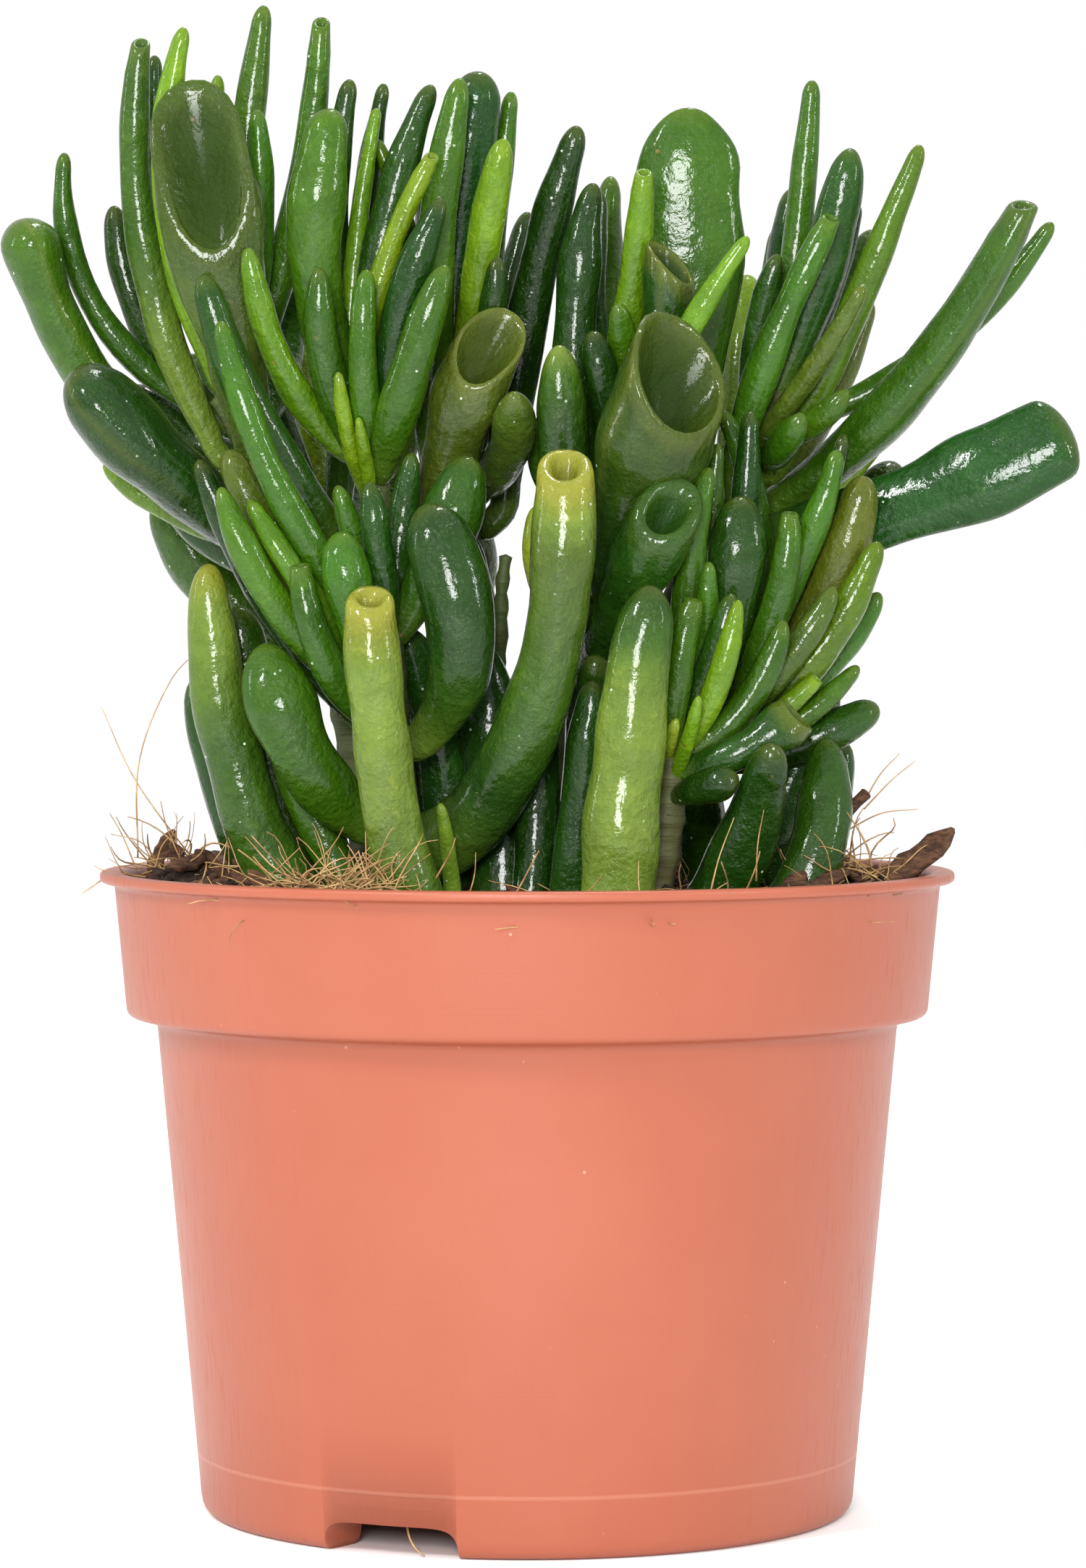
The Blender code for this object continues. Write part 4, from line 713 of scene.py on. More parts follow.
LEAVES = (
    # The left shoot.
    *grown(
        "left",
        ("leaf_left_trumpet", 54, (-71.5, 2, 95), (-5, 2, -5), 8.8, 8, PADDLE, MID, LEFT),
        ("leaf_left_fat", 48, (-63, -9, 73), (0, -3, -2), 11.6, 9.5, PADDLE, DARK, UP),
        ("leaf_left_tall", 57, (-55, 4, 120), (-6, 0, -1), 4.8, 4.4, TUBE),
        (70, (-48, -1, 121), (-5, -1, 0), 4.2, 4, FINGER, BRIGHT),
        ("leaf_spoon", 52, (-46, -7, 113), (-1, -3, 0), 13.2, 6, SPOON, OLIVE),
        (70, (-37, 7, 125), (-1, 1, 0), 4.6, 4.2),
        (68, (-29, 5, 123), (2, 1, -3), 4.4, 4.2, TUBE),
        (66, (-53, 12, 119), (-4, 1, 0), 3.6, 3.4, FINGER, DARK),
        (68, (-44, 10, 116), (-1, 1, 0), 3.4, 3.2, FINGER, BRIGHT),
        (68, (-38, 1, 110), (2, -1, 0), 4, 3.8),
        (64, (-59, 14, 97), (-4, 2, -3), 4.6, 4.2, FINGER, DARK),
        (62, (-57, 15, 72), (0, 2, -4), 6, 5.4, PADDLE, DARK),
        (66, (-46, 24, 100), (-1, 3, -3), 5.4, 5, PADDLE, MID, BACK),
        (64, (-33, 22, 92), (1, 3, -4), 5, 4.8, FINGER, MID, BACK),
    ),
    # The centre-left shoot.
    *grown(
        "centre_left",
        (61, (-26, -2, 110), (-5, -1, 0), 7.4, 6.4, PADDLE),
        (60, (-12, 1, 113), (-5, 1, 0), 5.2, 4.8, FINGER, DARK),
        ("leaf_reaching", 46, (-45, -11, 86), (-2, -2, -3), 5.8, 5.2, FINGER, DARK),
        (61, (-40, -8, 91), (-2, -1, -2), 4.2, 4, FINGER, BRIGHT),
        (60, (-25, 4, 115), (-3, 1, 0), 4, 3.6, FINGER, DARK),
        (60, (-20, 6, 115), (-3, 1, 0), 3.6, 3.4, FINGER, DARK),
        (60, (-13, -5, 104), (-3, -1, 0), 3.4, 3.2, TUBE, BRIGHT),
        (59, (-12, -7, 97), (-3, -2, 0), 5.2, 4.8, FINGER, DARK),
        (59, (-21, -9, 88), (-1, -2, 0), 4, 3.8),
        (58, (-11, -12, 88), (-1, -3, -1), 5.6, 5.2),
        (58, (-29, -7, 88), (-2, -1, 0), 4.8, 4.4),
    ),
    # The middle shoot.
    *grown(
        "middle",
        (63, (-7, 5, 115), (-1, 1, 0), 8.2, 7, PADDLE, DARK),
        ("leaf_pointed", 47, (-11, -1, 115), (-1, -2, 0), 5.8, 4.8),
        (61, (-3, -3, 105), (-2, -2, 0), 5.4, 5, FINGER, BRIGHT),
        ("leaf_dark_lean", 50, (8, 5, 108), (-2, 1, 0), 6, 5.6, FINGER, DARK),
        ("leaf_folded_cup", 41, (-1, -9, 85), (-1, -4, 0), 9.6, 7.4, CUP, OLIVE),
        (62, (-2, 9, 114), (-1, 1, 0), 3.8, 3.6),
        (60, (-4, -4, 89), (0, -2, 0), 4.2, 4, FINGER, DARK),
        (54, (-1, -10, 72), (-1, -3, -1), 6, 5.4, FINGER, OLIVE),
        (60, (-14, 20, 104), (-1, 2, -2), 5.4, 5, PADDLE, MID, BACK),
        (60, (0, 24, 97), (0, 3, -3), 5.8, 5, FINGER, DARK, BACK),
    ),
    # The centre-right shoot.
    *grown(
        "centre_right",
        ("leaf_lean_right", 49, (12, -1, 100), (-2, -2, 0), 6.2, 5.8, FINGER, DARK),
        (62, (16, -3, 101), (1, -1, 0), 4.4, 4.2, TUBE, BRIGHT),
        ("leaf_round_blade", 51, (28, 6, 112), (2, 1, -3), 15, 5, PADDLE),
        ("leaf_dark_trumpet", 46, (21, -6, 91), (0, -2, -2), 7.6, 7, TRUMPET, DARK, RIGHT),
        ("leaf_big_cup", 37, (23, -15, 79), (-1, -4, -2), 14, 12, CUP, OLIVE, SIDEWAYS),
        ("leaf_curled_cup", 29, (19, -16, 60), (-1, -3, -2), 8.6, 8, CUP, DARK),
        ("leaf_bright_reach", 42, (28, -8, 92), (-3, -3, -1), 3.8, 3.6, FINGER, BRIGHT),
        ("leaf_centre_pointed", 34, (5, -8, 77), (-1, -3, 0), 7.2, 6.4, FINGER, OLIVE),
        (59, (9, -8, 80), (-1, -2, 0), 5, 4.6, FINGER, DARK),
        (61, (10, 7, 99), (-2, 1, 0), 5, 4.4, FINGER, DARK),
        (58, (15, -6, 83), (1, -2, 0), 4.4, 4),
        (54, (1, -5, 70), (-1, -2, 0), 4.4, 4.2),
        (60, (12, 21, 102), (0, 3, -2), 5.4, 5, FINGER, MID, BACK),
        (60, (20, 18, 92), (1, 3, -2), 6.4, 4.6, PADDLE, MID, BACK),
    ),
    # The right shoot.
    *grown(
        "right",
        ("leaf_open_tip", 53, (43, -3, 95), (-1, -2, -1), 4.6, 4.4, TUBE),
        (68, (45, 3, 105), (1, 0, 0), 6.2, 5.8, FINGER, DARK),
        (68, (41, 9, 115), (1, 1, 0), 4, 3.8),
        ("leaf_right_light", 56, (56, 0, 104), (-1, -1, -1), 4.2, 4, FINGER, BRIGHT),
        ("leaf_long_reach", 50, (69, -5, 96), (2, -1, -5), 7.4, 6.4, TUBE, MID, UP),
        ("leaf_far_right", 51, (77, -9, 64), (0, -3, -3), 12.4, 6.5, BLADE, DARK),
        (65, (74, 4, 94), (3, 1, -4), 3.8, 3.6),
        (64, (33, 5, 90), (-1, 1, 0), 4.2, 4, FINGER, DARK),
        (66, (47, 9, 98), (1, 1, 0), 3.4, 3.2, FINGER, DARK),
        (65, (45, -6, 71), (1, -2, -2), 3.8, 3.6),
        (62, (39, -9, 67), (-1, -3, -2), 4.4, 4.2),
        (65, (50, 20, 94), (1, 3, -4), 6, 5, PADDLE, MID, BACK),
        (64, (38, 22, 100), (0, 3, -2), 5, 4.8, FINGER, DARK, BACK),
    ),
    # The low right shoot.
    *grown(
        "low_right",
        (24, (47, -6, 58), (3, -1, -4), 6.4, 5.6, PADDLE, OLIVE),
        (25, (43, -10, 62), (2, -1, -2), 4.2, 4),
        (22, (49, -11, 50), (2, -1, -3), 5, 4.6, FINGER, BRIGHT),
        (19, (49, -3, 42), (2, 0, -3), 4.6, 4.2),
        (26, (37, -13, 54), (2, -2, -1), 4.2, 4, TUBE),
        (26, (29, -11, 55), (0, -3, 0), 7.4, 5.6, PADDLE, DARK),
        (25, (25, -13, 61), (-1, -3, 0), 4.2, 4),
        (24, (31, -7, 67), (1, -1, 0), 4.2, 4, FINGER, DARK),
    ),
    # The front-right shoot, a small rosette low in the pot.
    *grown(
        "front_right",
        (19, (35, -18, 38), (2, 0, -3), 4.4, 4.2),
        (19, (29, -21, 41), (1, -1, -2), 3.4, 3.2, FINGER, BRIGHT),
        (19, (23, -20, 41), (-1, -1, 0), 4.2, 4, TUBE),
        (17, (38, -19, 26), (0, -2, -1), 6.6, 5.4, TRUMPET, DARK),
        (14, (29, -25, 17), (0, -2, 0), 4.6, 4.2, PADDLE, DARK),
    ),
    # The front-left shoot.
    *grown(
        "front_left",
        ("leaf_centre_front", 5, (5, -24, 61), (6, -4, -7), 9.8, 9, STOUT_TUBE),
        ("leaf_curved_hook", 20, (-14, -20, 54), (6, -5, -3), 9.4, 8, PADDLE, DARK),
        ("leaf_low_left_wide", 8, (-36, -19, 35), (-2, -4, -3), 9.2, 7.6, PADDLE),
        ("leaf_round_top", 28, (-26, -19, 50), (-1, -3, -1), 6.2, 5.8, PADDLE),
        (34, (-42, -16, 79), (-2, -3, -4), 4.4, 4.2),
        (30, (-41, -13, 62), (-1, -2, -3), 5, 4.6, PADDLE, OLIVE),
        (26, (-42, -17, 57), (-2, -3, -3), 4.8, 4.4),
        (24, (-31, -21, 47), (-2, -3, -3), 4.8, 4.4, TUBE),
        (34, (-22, -18, 57), (0, -2, 0), 4.2, 4, FINGER, DARK),
        (35, (-8, -14, 61), (1, -1, -1), 7.4, 6, PADDLE),
    ),
    # Leaves rooted in the soil.
    *grown(
        "",
        ("leaf_front_tube", (-13, -27), (-21, -29, 42), (-2, 0, 0), 8.6, 8, STOUT_TUBE, PALE),
        ("leaf_front_pale", (12, -28), (17, -26, 43), (-1, 0, 0), 9.6, 8, STOUT, PALE),
        ("leaf_low_left", (-27, -14), (-44, -14, 46), (-4, 0, -3), 8.2, 7.8, STOUT),
        ("leaf_low_right", (20, -6), (41, -2, 32), (2, 0, -4), 9, 7.6, STOUT, DARK),
        ("leaf_behind_pale", (5, -20), (9, -21, 30), (0, 0, 0), 5.6, 5.2, STOUT, DARK),
    ),
    # The two shoots at the back.
    *grown(
        "back_left",
        ("leaf_back_left", 30, (-54, 32, 56), (-2, 3, -4), 8.6, 7.4, PADDLE, MID, BACK),
        ("leaf_back_cup", 28, (-8, 38, 62), (2, 4, -2), 9.6, 8.4, CUP, OLIVE, BACK),
    ),
    *grown(
        "back_right",
        ("leaf_back_tube", 30, (6, 37, 74), (-1, 4, -2), 6.6, 6.2, TUBE, MID, BACK),
        ("leaf_back_right", 31, (52, 30, 62), (2, 3, -4), 8.4, 7.4, PADDLE, DARK, BACK),
    ),
)

FANS = (
    Fan("back_left", 7, (20.0, 190.0), 46.0, 6.2),
    Fan("back_right", 7, (-10.0, 160.0), 46.0, 6.2),
)

SMALL_LEAVES = (
    *grown(
        "left",
        (50, (-59, 8, 64), (-1, 1, -2), 3.6, 3.4, FINGER, PALE),
        (44, (-53, 11, 59), (0, 1, -2), 6, 5.4, PADDLE, DARK),
        (64, (-66, 8, 106), (-5, 2, -3), 3.6, 3.4),
        (66, (-50, 16, 112), (-2, 2, 0), 3.8, 3.6, FINGER, DARK),
    ),
    *grown("centre_left", (60, (-22, 3, 112), (-2, 1, 0), 2.8, 2.6, FINGER, BRIGHT)),
    *grown("middle", (60, (-9, 5, 108), (-1, 1, 0), 3, 2.8, FINGER, BRIGHT)),
    *grown("centre_right", (36, (5, -15, 64.5), (-1, -2, 0), 4.4, 4.2, FINGER, PALE)),
    *grown("right", (58, (47, -6, 85), (1, -2, -1), 3.2, 3, FINGER, OLIVE)),
    *grown(
        "low_right",
        (24, (44, -4, 64), (2, 0, -2), 3.2, 3, FINGER, DARK),
        (26, (36, -4, 69), (1, 0, -1), 4.2, 4),
        (25, (27, -9, 63), (0, -1, 0), 3.2, 3),
        (22, (43, -14, 45), (1, -1, -2), 4.2, 4, FINGER, OLIVE),
        (19, (45, -14, 36), (2, 0, -2), 3.6, 3.4),
        (20, (23, -14, 49), (0, -1, 0), 3.4, 3.2),
    ),
    *grown(
        "front_right",
        (18, (41, -15, 31), (1, 0, -1), 3.4, 3.2, TUBE, BRIGHT),
        (17, (28, -16, 43), (0, 0, 0), 4, 3.8, FINGER, DARK),
        (15, (24, -25, 28), (0, -1, 0), 2, 1.9, FINGER, BRIGHT),
        (18, (20.5, -24, 25), (0, -1, 0), 1.9, 1.8, FINGER, PALE),
    ),
    *grown("front_left", (30, (-35, -19, 58), (-1, -1, -1), 3.6, 3.4, FINGER, BRIGHT)),
    *grown(
        "centre_left",
        (54, (-27, -9, 73), (0, -1, 0), 2.2, 2.1, FINGER, BRIGHT),
        (52, (-23, -9, 67), (0, -1, 0), 1.9, 1.8, FINGER, BRIGHT),
        (54, (-19, -9, 71), (0, -1, 0), 1.9, 1.8, FINGER, PALE),
        (57, (-16, -8, 81), (0, -1, 0), 2.6, 2.4, FINGER, BRIGHT),
        (44, (-37, -9, 65), (-1, -1, -2), 4.2, 4, FINGER, PALE),
        (40, (-30, -8, 58), (-1, -1, 0), 3.2, 3, FINGER, PALE),
    ),
    *grown(
        "front_left",
        (20, (-46, -10, 60), (-2, 0, -2), 4.8, 4.4, FINGER, DARK),
        (33, (-28, -17, 56), (0, -1, 0), 3.6, 3.4),
        (30, (-16.5, -10, 62), (0, 0, 0), 4.4, 4.2, FINGER, DARK),
    ),
    *grown("middle", (34, (-8, -5, 51), (0, -1, 0), 4.2, 4, FINGER, DARK)),
    *grown(
        "low_right",
        (18, (48, 0, 30), (2, 0, -2), 5.4, 5, PADDLE, DARK),
        (17, (38, 2, 46), (1, 2, -1), 5.4, 5, PADDLE, DARK, BACK),
    ),
    *grown("front_left", (22, (-27, 0, 40), (-1, 2, -1), 5.4, 5, FINGER, DARK, BACK)),
    *grown(
        "",
        ((-26, -8), (-41, -9, 40), (-2, 0, -2), 7.8, 7, PADDLE, DARK),
        ((-20, -16), (-33, -16, 24), (-1, 0, -2), 6.2, 5.6, PADDLE),
        ((-3, -13), (-5, -14, 36), (-1, 0, 0), 8.8, 7.6, STOUT, DARK),
        ((-14, -12), (-15, -10, 40), (-1, 0, 0), 7.6, 7, STOUT, DARK),
        ((-2, -20), (-4, -20, 26), (0, 0, 0), 6.4, 5.8, PADDLE, DARK),
        ((5, -17), (8, -16, 36), (0, 0, 0), 6.4, 5.8, PADDLE, DARK),
        ((17, -20), (25, -21, 27), (1, 0, -1), 8, 7.2, STOUT, DARK),
        ((24, -10), (38, -9, 31), (2, 0, -3), 8.2, 7.4, STOUT, DARK),
        ((-10, -19), (-10, -21, 14), (0, 0, 0), 2.4, 2.3, FINGER, PALE),
        ((14, -8), (19, -7, 34), (1, 0, 0), 8.4, 7.6, STOUT, DARK),
        ((26, -5), (34, -4, 38), (2, 0, -2), 7.6, 7, STOUT, DARK),
        ((30, 0), (45, 4, 21), (1, 0, -2), 6.6, 6, STOUT, DARK),
        ((-30, 2), (-47, 5, 30), (-2, 0, -2), 6.8, 6.2, STOUT, DARK),
        ((-24, 14), (-42, 22, 34), (-2, 1, -2), 7, 6.4, STOUT, MID, BACK),
        ((4, 30), (2, 42, 40), (0, 1, -2), 7.2, 6.6, STOUT, MID, BACK),
        ((26, 20), (42, 30, 32), (1, 1, -2), 7, 6.4, STOUT, DARK, BACK),
    ),
)


@dataclass(frozen=True)
class Crowd:
    """What stays the same while leaves settle.

    Attributes:
        leaves: the leaves.
        row: the leaf of each point.
        node: each point's place on its leaf.
        largest: the greater half size at each point.
        owner: the number of each leaf's stem, or one below 0 of its own.
        joined: whether each leaf is joined to its crown.
        rooted: whether each leaf grows from the soil.
    """

    leaves: list[Leaf]
    row: Indices
    node: Indices
    largest: Array
    owner: Indices
    joined: NDArray[np.bool_]
    rooted: NDArray[np.bool_]


class Planting:
    """Lays out the shoots and leaves, and bends apart the leaves that would touch.

    The sizes are those that the solids were made with.
    """

    NODES = 14  # points along each leaf's line
    ROUNDS = 700
    SMALL_ROUNDS = 160
    NEIGHBOUR_ROUNDS = 10
    REACH = 4.0  # how far apart neighbours are still watched
    JOINED_SHARE = 0.38  # of a crown leaf's length that may grow into the next
    SLIDE = 0.6  # how readily a foot slides on its stem
    STILL_WEIGHT = 0.04  # how much a point that touches nothing holds its place
    STIFFNESS = 0.02
    SHARING = 0.6
    LEAF_GAP = 0.42
    CROWN_GAP = 0.15
    FOOT_GAP = 0.35
    CROWN_MARGIN = 2.5
    SMALL_LEAF_DROP = 2.0  # how far below its root a small leaf may slide
    ROOT_DEPTH = 9.0
    GIRTH = 1.08
    GOLDEN_TURN = 0.618
    SOIL_RADIUS = 56.016
    SOIL_DOME = 1.4
    SOIL_LUMP = 0.9

    def __init__(self) -> None:
        """Settles the plant's leaves, and then the smallest ones between them."""
        leaves = list(LEAVES)
        for fan in FANS:
            leaves += self.spread(fan)
        self.balls, self.ball_radii, self.ball_owner = self.stem_balls()
        self.lines = {stem.name: self.stem_line(stem, 60) for stem in STEMS}
        self.leaves = leaves
        points, half = self.lay_out(leaves)
        self.points = self.settle(leaves, points, half, np.ones(len(leaves), bool), self.ROUNDS)
        self.small = list(SMALL_LEAVES)
        more_points, more_half = self.lay_out(self.small)
        every = leaves + self.small
        points = np.concatenate([self.points, more_points])
        half = np.concatenate([half, more_half])
        free = np.arange(len(every)) >= len(leaves)
        self.small_points = self.settle(every, points, half, free, self.SMALL_ROUNDS)[len(leaves) :]
        LOG.info("laid out %d leaves and %d small ones", len(leaves), len(self.small))

    @classmethod
    def soil_rise(cls, x: Array, y: Array) -> Array:
        """The soil's height above its level in the middle: a dome with low lumps made of waves."""
        share = np.clip((x * x + y * y) / cls.SOIL_RADIUS**2, 0.0, 1.0)
        lumps = np.sin(0.31 * x + 1.3) * np.sin(0.27 * y + 0.4) + 0.6 * np.sin(0.55 * x - 0.48 * y)
        return -cls.SOIL_DOME * share + cls.SOIL_LUMP * lumps * (1.0 - share)

    @staticmethod
    def stem_line(stem: Stem, count: int) -> tuple[Array, Array]:
        """Points along a stem, on the parabola through its three places, and the radius at each.

        Args:
            stem: the stem.
            count: how many points.

        Returns:
            The points and the radii.
        """
        low, middle, top = (np.array(place, float) for place in stem.path)
        share = np.linspace(0.0, 1.0, count)[:, None]
        points = (
            low * 2.0 * (share - 0.5) * (share - 1.0)
            - middle * 4.0 * share * (share - 1.0)
            + top * 2.0 * share * (share - 0.5)
        )
        return points, stem.radius * (1.0 - 0.25 * share[:, 0])

    def stem_balls(self) -> tuple[Array, Array, NDArray[np.int64]]:
        """Every stem as a row of balls: places, radii and the stem each belongs to."""
        lines = [self.stem_line(stem, 40) for stem in STEMS]
        owners = np.repeat(np.arange(len(STEMS)), 40)
        return np.vstack([line for line, _ in lines]), np.concatenate([radii for _, radii in lines]), owners

    @staticmethod
    def stem_named(name: str) -> Stem:
        """The stem with a name."""
        return next(stem for stem in STEMS if stem.name == name)

    def spread(self, fan: Fan) -> list[Leaf]:
        """The leaves of a fan, by the golden angle from the steepest to the lowest.

        Args:
            fan: the fan.

        Returns:
            The leaves.
        """
        stem = self.stem_named(fan.stem)
        tip = np.array(stem.path[2], float)
        leaves = []
        for index in range(fan.count):
            share = (index + 0.5) / fan.count
            turn = (index * self.GOLDEN_TURN + 0.3) % 1.0
            heading = math.radians(fan.compass[0] + (fan.compass[1] - fan.compass[0]) * turn)
            rise = math.radians(82.0 - 50.0 * share)
            length = fan.length * (1.0 - 0.28 * share)
            run = length * math.cos(rise)
            end = tip + np.array([run * math.cos(heading), run * math.sin(heading), length * math.sin(rise)])
            width = fan.width * (0.7 + 0.3 * ((index * 2) % 3) / 2.0)
            bow = (run * 0.08 * math.cos(heading), run * 0.08 * math.sin(heading), -2.0)
            form = (FINGER, TUBE, PADDLE)[index % 3]
            tint = (MID, DARK, BRIGHT, OLIVE)[index % 4]
            root = stem.path[2][2] - 1.0 - 8.0 * share
            leaves.append(Leaf("", fan.stem, root, tuple(end), bow, width, 0.9 * width, form, tint, BACK))
        return leaves

    @staticmethod
    def taper(form: Outline | Skin, share: Array) -> Array:
        """A form's share of the full width: from knot to knot on the ramp 3 s^2 - 2 s^3."""
        result = np.zeros_like(share)
        knots = form.knots
        for (start, low), (end, high) in zip(knots, knots[1:]):
            part = low + (high - low) * smoothstep((share - start) / (end - start))
            result = np.where((share >= start) & (share <= end), part, result)
        return result

    @staticmethod
    def rounding(share: Array, length: float, radius: float, form: Form) -> Array:
        """How a leaf closes at its ends: sqrt(1 - (1 - d)^2), where d is the way in, in radii, up to 1."""
        foot = np.clip(share * length / (radius * form.value.knots[0][1]), 0.0, 1.0)
        factor = np.sqrt(1.0 - (1.0 - foot) ** 2)
        if form.value.mouth:
            return factor
        tip = np.clip((1.0 - share) * length / (radius * form.value.knots[-1][1]), 0.0, 1.0)
        return factor * np.sqrt(1.0 - (1.0 - tip) ** 2)

    def foot_of(self, leaf: Leaf) -> Array:
        """Where a leaf's foot starts, before anything settles."""
        if not leaf.stem:
            return np.array([leaf.root[0], leaf.root[1], -self.ROOT_DEPTH])
        line, radii = self.stem_line(self.stem_named(leaf.stem), 60)
        centre = np.array([np.interp(leaf.root, line[:, 2], line[:, axis]) for axis in range(3)])
        if not leaf.name:
            return centre
        away = np.array(leaf.tip, float) + 2.0 * np.array(leaf.bow, float) - centre
        away[2] = 0.0
        return centre + unit(away) * (np.interp(leaf.root, line[:, 2], radii) + self.FOOT_GAP)

    def lay_out(self, leaves: list[Leaf]) -> tuple[Array, Array]:
        """Each leaf on the parabola through its foot, its bowed middle and its tip.

        Args:
            leaves: the leaves.

        Returns:
            (leaf, node, 3) points and (leaf, node, 2) half widths and half depths.
        """
        share = np.linspace(0.0, 1.0, self.NODES)[:, None]
        points, half = [], []
        for leaf in leaves:
            foot = self.foot_of(leaf)
            tip = np.array(leaf.tip, float)
            line = foot + share * (tip - foot) + 4.0 * share * (1.0 - share) * np.array(leaf.bow, float)
            points.append(line)
            length = np.linalg.norm(np.diff(line, axis=0), axis=1).sum()
            size = np.array([leaf.width, leaf.depth]) * 0.5 * self.GIRTH
            ends = self.rounding(share[:, 0], length, size[0], leaf.form)
            girth = self.taper(leaf.form.value, share[:, 0]) * ends
            half.append(girth[:, None] * size)
        return np.array(points), np.array(half)

    @staticmethod
    def frames(points: Array, faces: Array) -> tuple[Array, Array]:
        """Directions across each leaf and out of its face at its nodes.

        Args:
            points: (leaf, node, 3) places.
            faces: (leaf, 3) the way each leaf faces.

        Returns:
            Unit vectors across the width and out of the face.
        """
        along = unit(np.gradient(points, axis=1))
        facing = np.broadcast_to(faces[:, None, :], points.shape)
        out = unit(facing - (facing * along).sum(-1, keepdims=True) * along)
        return np.cross(along, out), out

    def settle(
        self, leaves: list[Leaf], points: Array, half: Array, free: NDArray[np.bool_], rounds: int
    ) -> Array:
        """Bends the leaves apart where they would touch, with their lengths kept.

        Each touching pair of points is moved apart. A leaf answers with the smooth bend that suits its
        points best: a slide of the foot on its stem, a swing and a curl.

        Args:
            leaves: the leaves.
            points: (leaf, node, 3) places.
            half: (leaf, node, 2) half widths and half depths.
            free: whether each leaf may move.
            rounds: how many times every touching pair is looked at.

        Returns:
            The settled points.
        """
        count, nodes = len(leaves), self.NODES
        names = [stem.name for stem in STEMS]
        size = half.reshape(-1, 2)
        crowd = Crowd(
            leaves=leaves,
            row=np.repeat(np.arange(count), nodes),
            node=np.tile(np.arange(nodes), count),
            largest=size.max(axis=1),
            owner=np.array(
                [names.index(leaf.stem) if leaf.stem else -1 - index for index, leaf in enumerate(leaves)]
            ),
            joined=np.array([bool(leaf.stem) and not leaf.name for leaf in leaves]),
            rooted=np.array([not leaf.stem for leaf in leaves]),
        )
        faces = np.array([leaf.faces for leaf in leaves], float)
        steps = np.linalg.norm(np.diff(points, axis=1), axis=2)
        share = np.linspace(0.0, 1.0, nodes)
        basis = np.stack([np.full(nodes, self.SLIDE), share, share**2], axis=1)
        anchored = basis.copy()
        anchored[:, 0] = 0.0
        bases = np.where(crowd.rooted[:, None, None], anchored, basis)
        for turn in range(rounds):
            across, out = self.frames(points, faces)
            flat, wide, deep = points.reshape(-1, 3), across.reshape(-1, 3), out.reshape(-1, 3)

            def support(index: Indices, direction: Array) -> Array:
                """How far each point's elliptical section reaches in a direction."""
                side = size[index, 0] * (wide[index] * direction).sum(-1)
                face = size[index, 1] * (deep[index] * direction).sum(-1)
                return np.sqrt(side * side + face * face)

            if turn % self.NEIGHBOUR_ROUNDS == 0:
                first, second, gap = self.near_pairs(flat, crowd)
                point, ball = self.near_stems(flat, crowd)
            push = np.zeros_like(flat)
            touches = np.zeros(len(flat))
            between = flat[second] - flat[first]
            distance = np.linalg.norm(between, axis=1)
            direction = between / np.maximum(distance, 1e-6)[:, None]
            short = np.maximum(support(first, direction) + support(second, direction) + gap - distance, 0.0)
            move = 0.5 * short[:, None] * direction
            np.add.at(push, first, -move)
            np.add.at(push, second, move)
            np.add.at(touches, first, short > 0.0)
            np.add.at(touches, second, short > 0.0)
            between = flat[point] - self.balls[ball]
            distance = np.linalg.norm(between, axis=1)
            direction = between / np.maximum(distance, 1e-6)[:, None]
            need = self.ball_radii[ball] + support(point, direction) + self.LEAF_GAP
            short = np.maximum(need - distance, 0.0)
            np.add.at(push, point, short[:, None] * direction)
            np.add.at(touches, point, short > 0.0)
            ground = self.soil_rise(flat[:, 0], flat[:, 1]) + crowd.largest + self.LEAF_GAP
            buried = np.maximum(ground - flat[:, 2], 0.0) * ~crowd.rooted[crowd.row]
            push[:, 2] += buried
            touches += buried > 0.0
            push /= np.maximum(touches, 1.0)[:, None] ** self.SHARING
            weight = np.where(touches > 0.0, 1.0, self.STILL_WEIGHT).reshape(count, nodes)
            normal = np.einsum("nki,nk,nkj->nij", bases, weight, bases) + self.STIFFNESS * np.eye(3)
            right = np.einsum("nki,nk,nkd->nid", bases, weight, push.reshape(count, nodes, 3))
            bent = points + bases @ np.linalg.solve(normal, right)
            self.hold_feet(crowd, bent, steps)
            points = np.where(free[:, None, None], bent, points)
        return points

    def near_pairs(self, flat: Array, crowd: Crowd) -> tuple[Indices, Indices, Array]:
        """Pairs of points on different leaves that are close enough to watch.

        Args:
            flat: the points.
            crowd: whose they are.

        Returns:
            The first points, the second points and the gap that each pair keeps.
        """
        distance = np.linalg.norm(flat[:, None, :] - flat[None, :, :], axis=2)
        reach = crowd.largest[:, None] + crowd.largest[None, :] + self.REACH
        first, second = np.nonzero(np.triu(distance < reach, 1))
        row, owner, joined = crowd.row, crowd.owner, crowd.joined
        apart = row[first] != row[second]
        first, second = first[apart], second[apart]
        near_foot = np.linspace(0.0, 1.0, self.NODES)[crowd.node] < self.JOINED_SHARE
        in_crown = (owner[row[first]] == owner[row[second]]) & joined[row[first]] & joined[row[second]]
        kept = ~(in_crown & near_foot[first] & near_foot[second])
        return first[kept], second[kept], np.where(in_crown[kept], self.CROWN_GAP, self.LEAF_GAP)

    def near_stems(self, flat: Array, crowd: Crowd) -> tuple[Indices, Indices]:
        """Pairs of a leaf's point and a stem's ball that are close enough to watch.

        Args:
            flat: the points.
            crowd: whose they are.

        Returns:
            The points and the balls.
        """
        distance = np.linalg.norm(flat[:, None, :] - self.balls[None, :, :], axis=2)
        point, ball = np.nonzero(distance < crowd.largest[:, None] + self.ball_radii[None, :] + self.REACH)
        leaf = crowd.row[point]
        own = crowd.owner[leaf] == self.ball_owner[ball]
        watched = ~(own & (crowd.joined[leaf] | (crowd.node[point] == 0)))
        return point[watched], ball[watched]

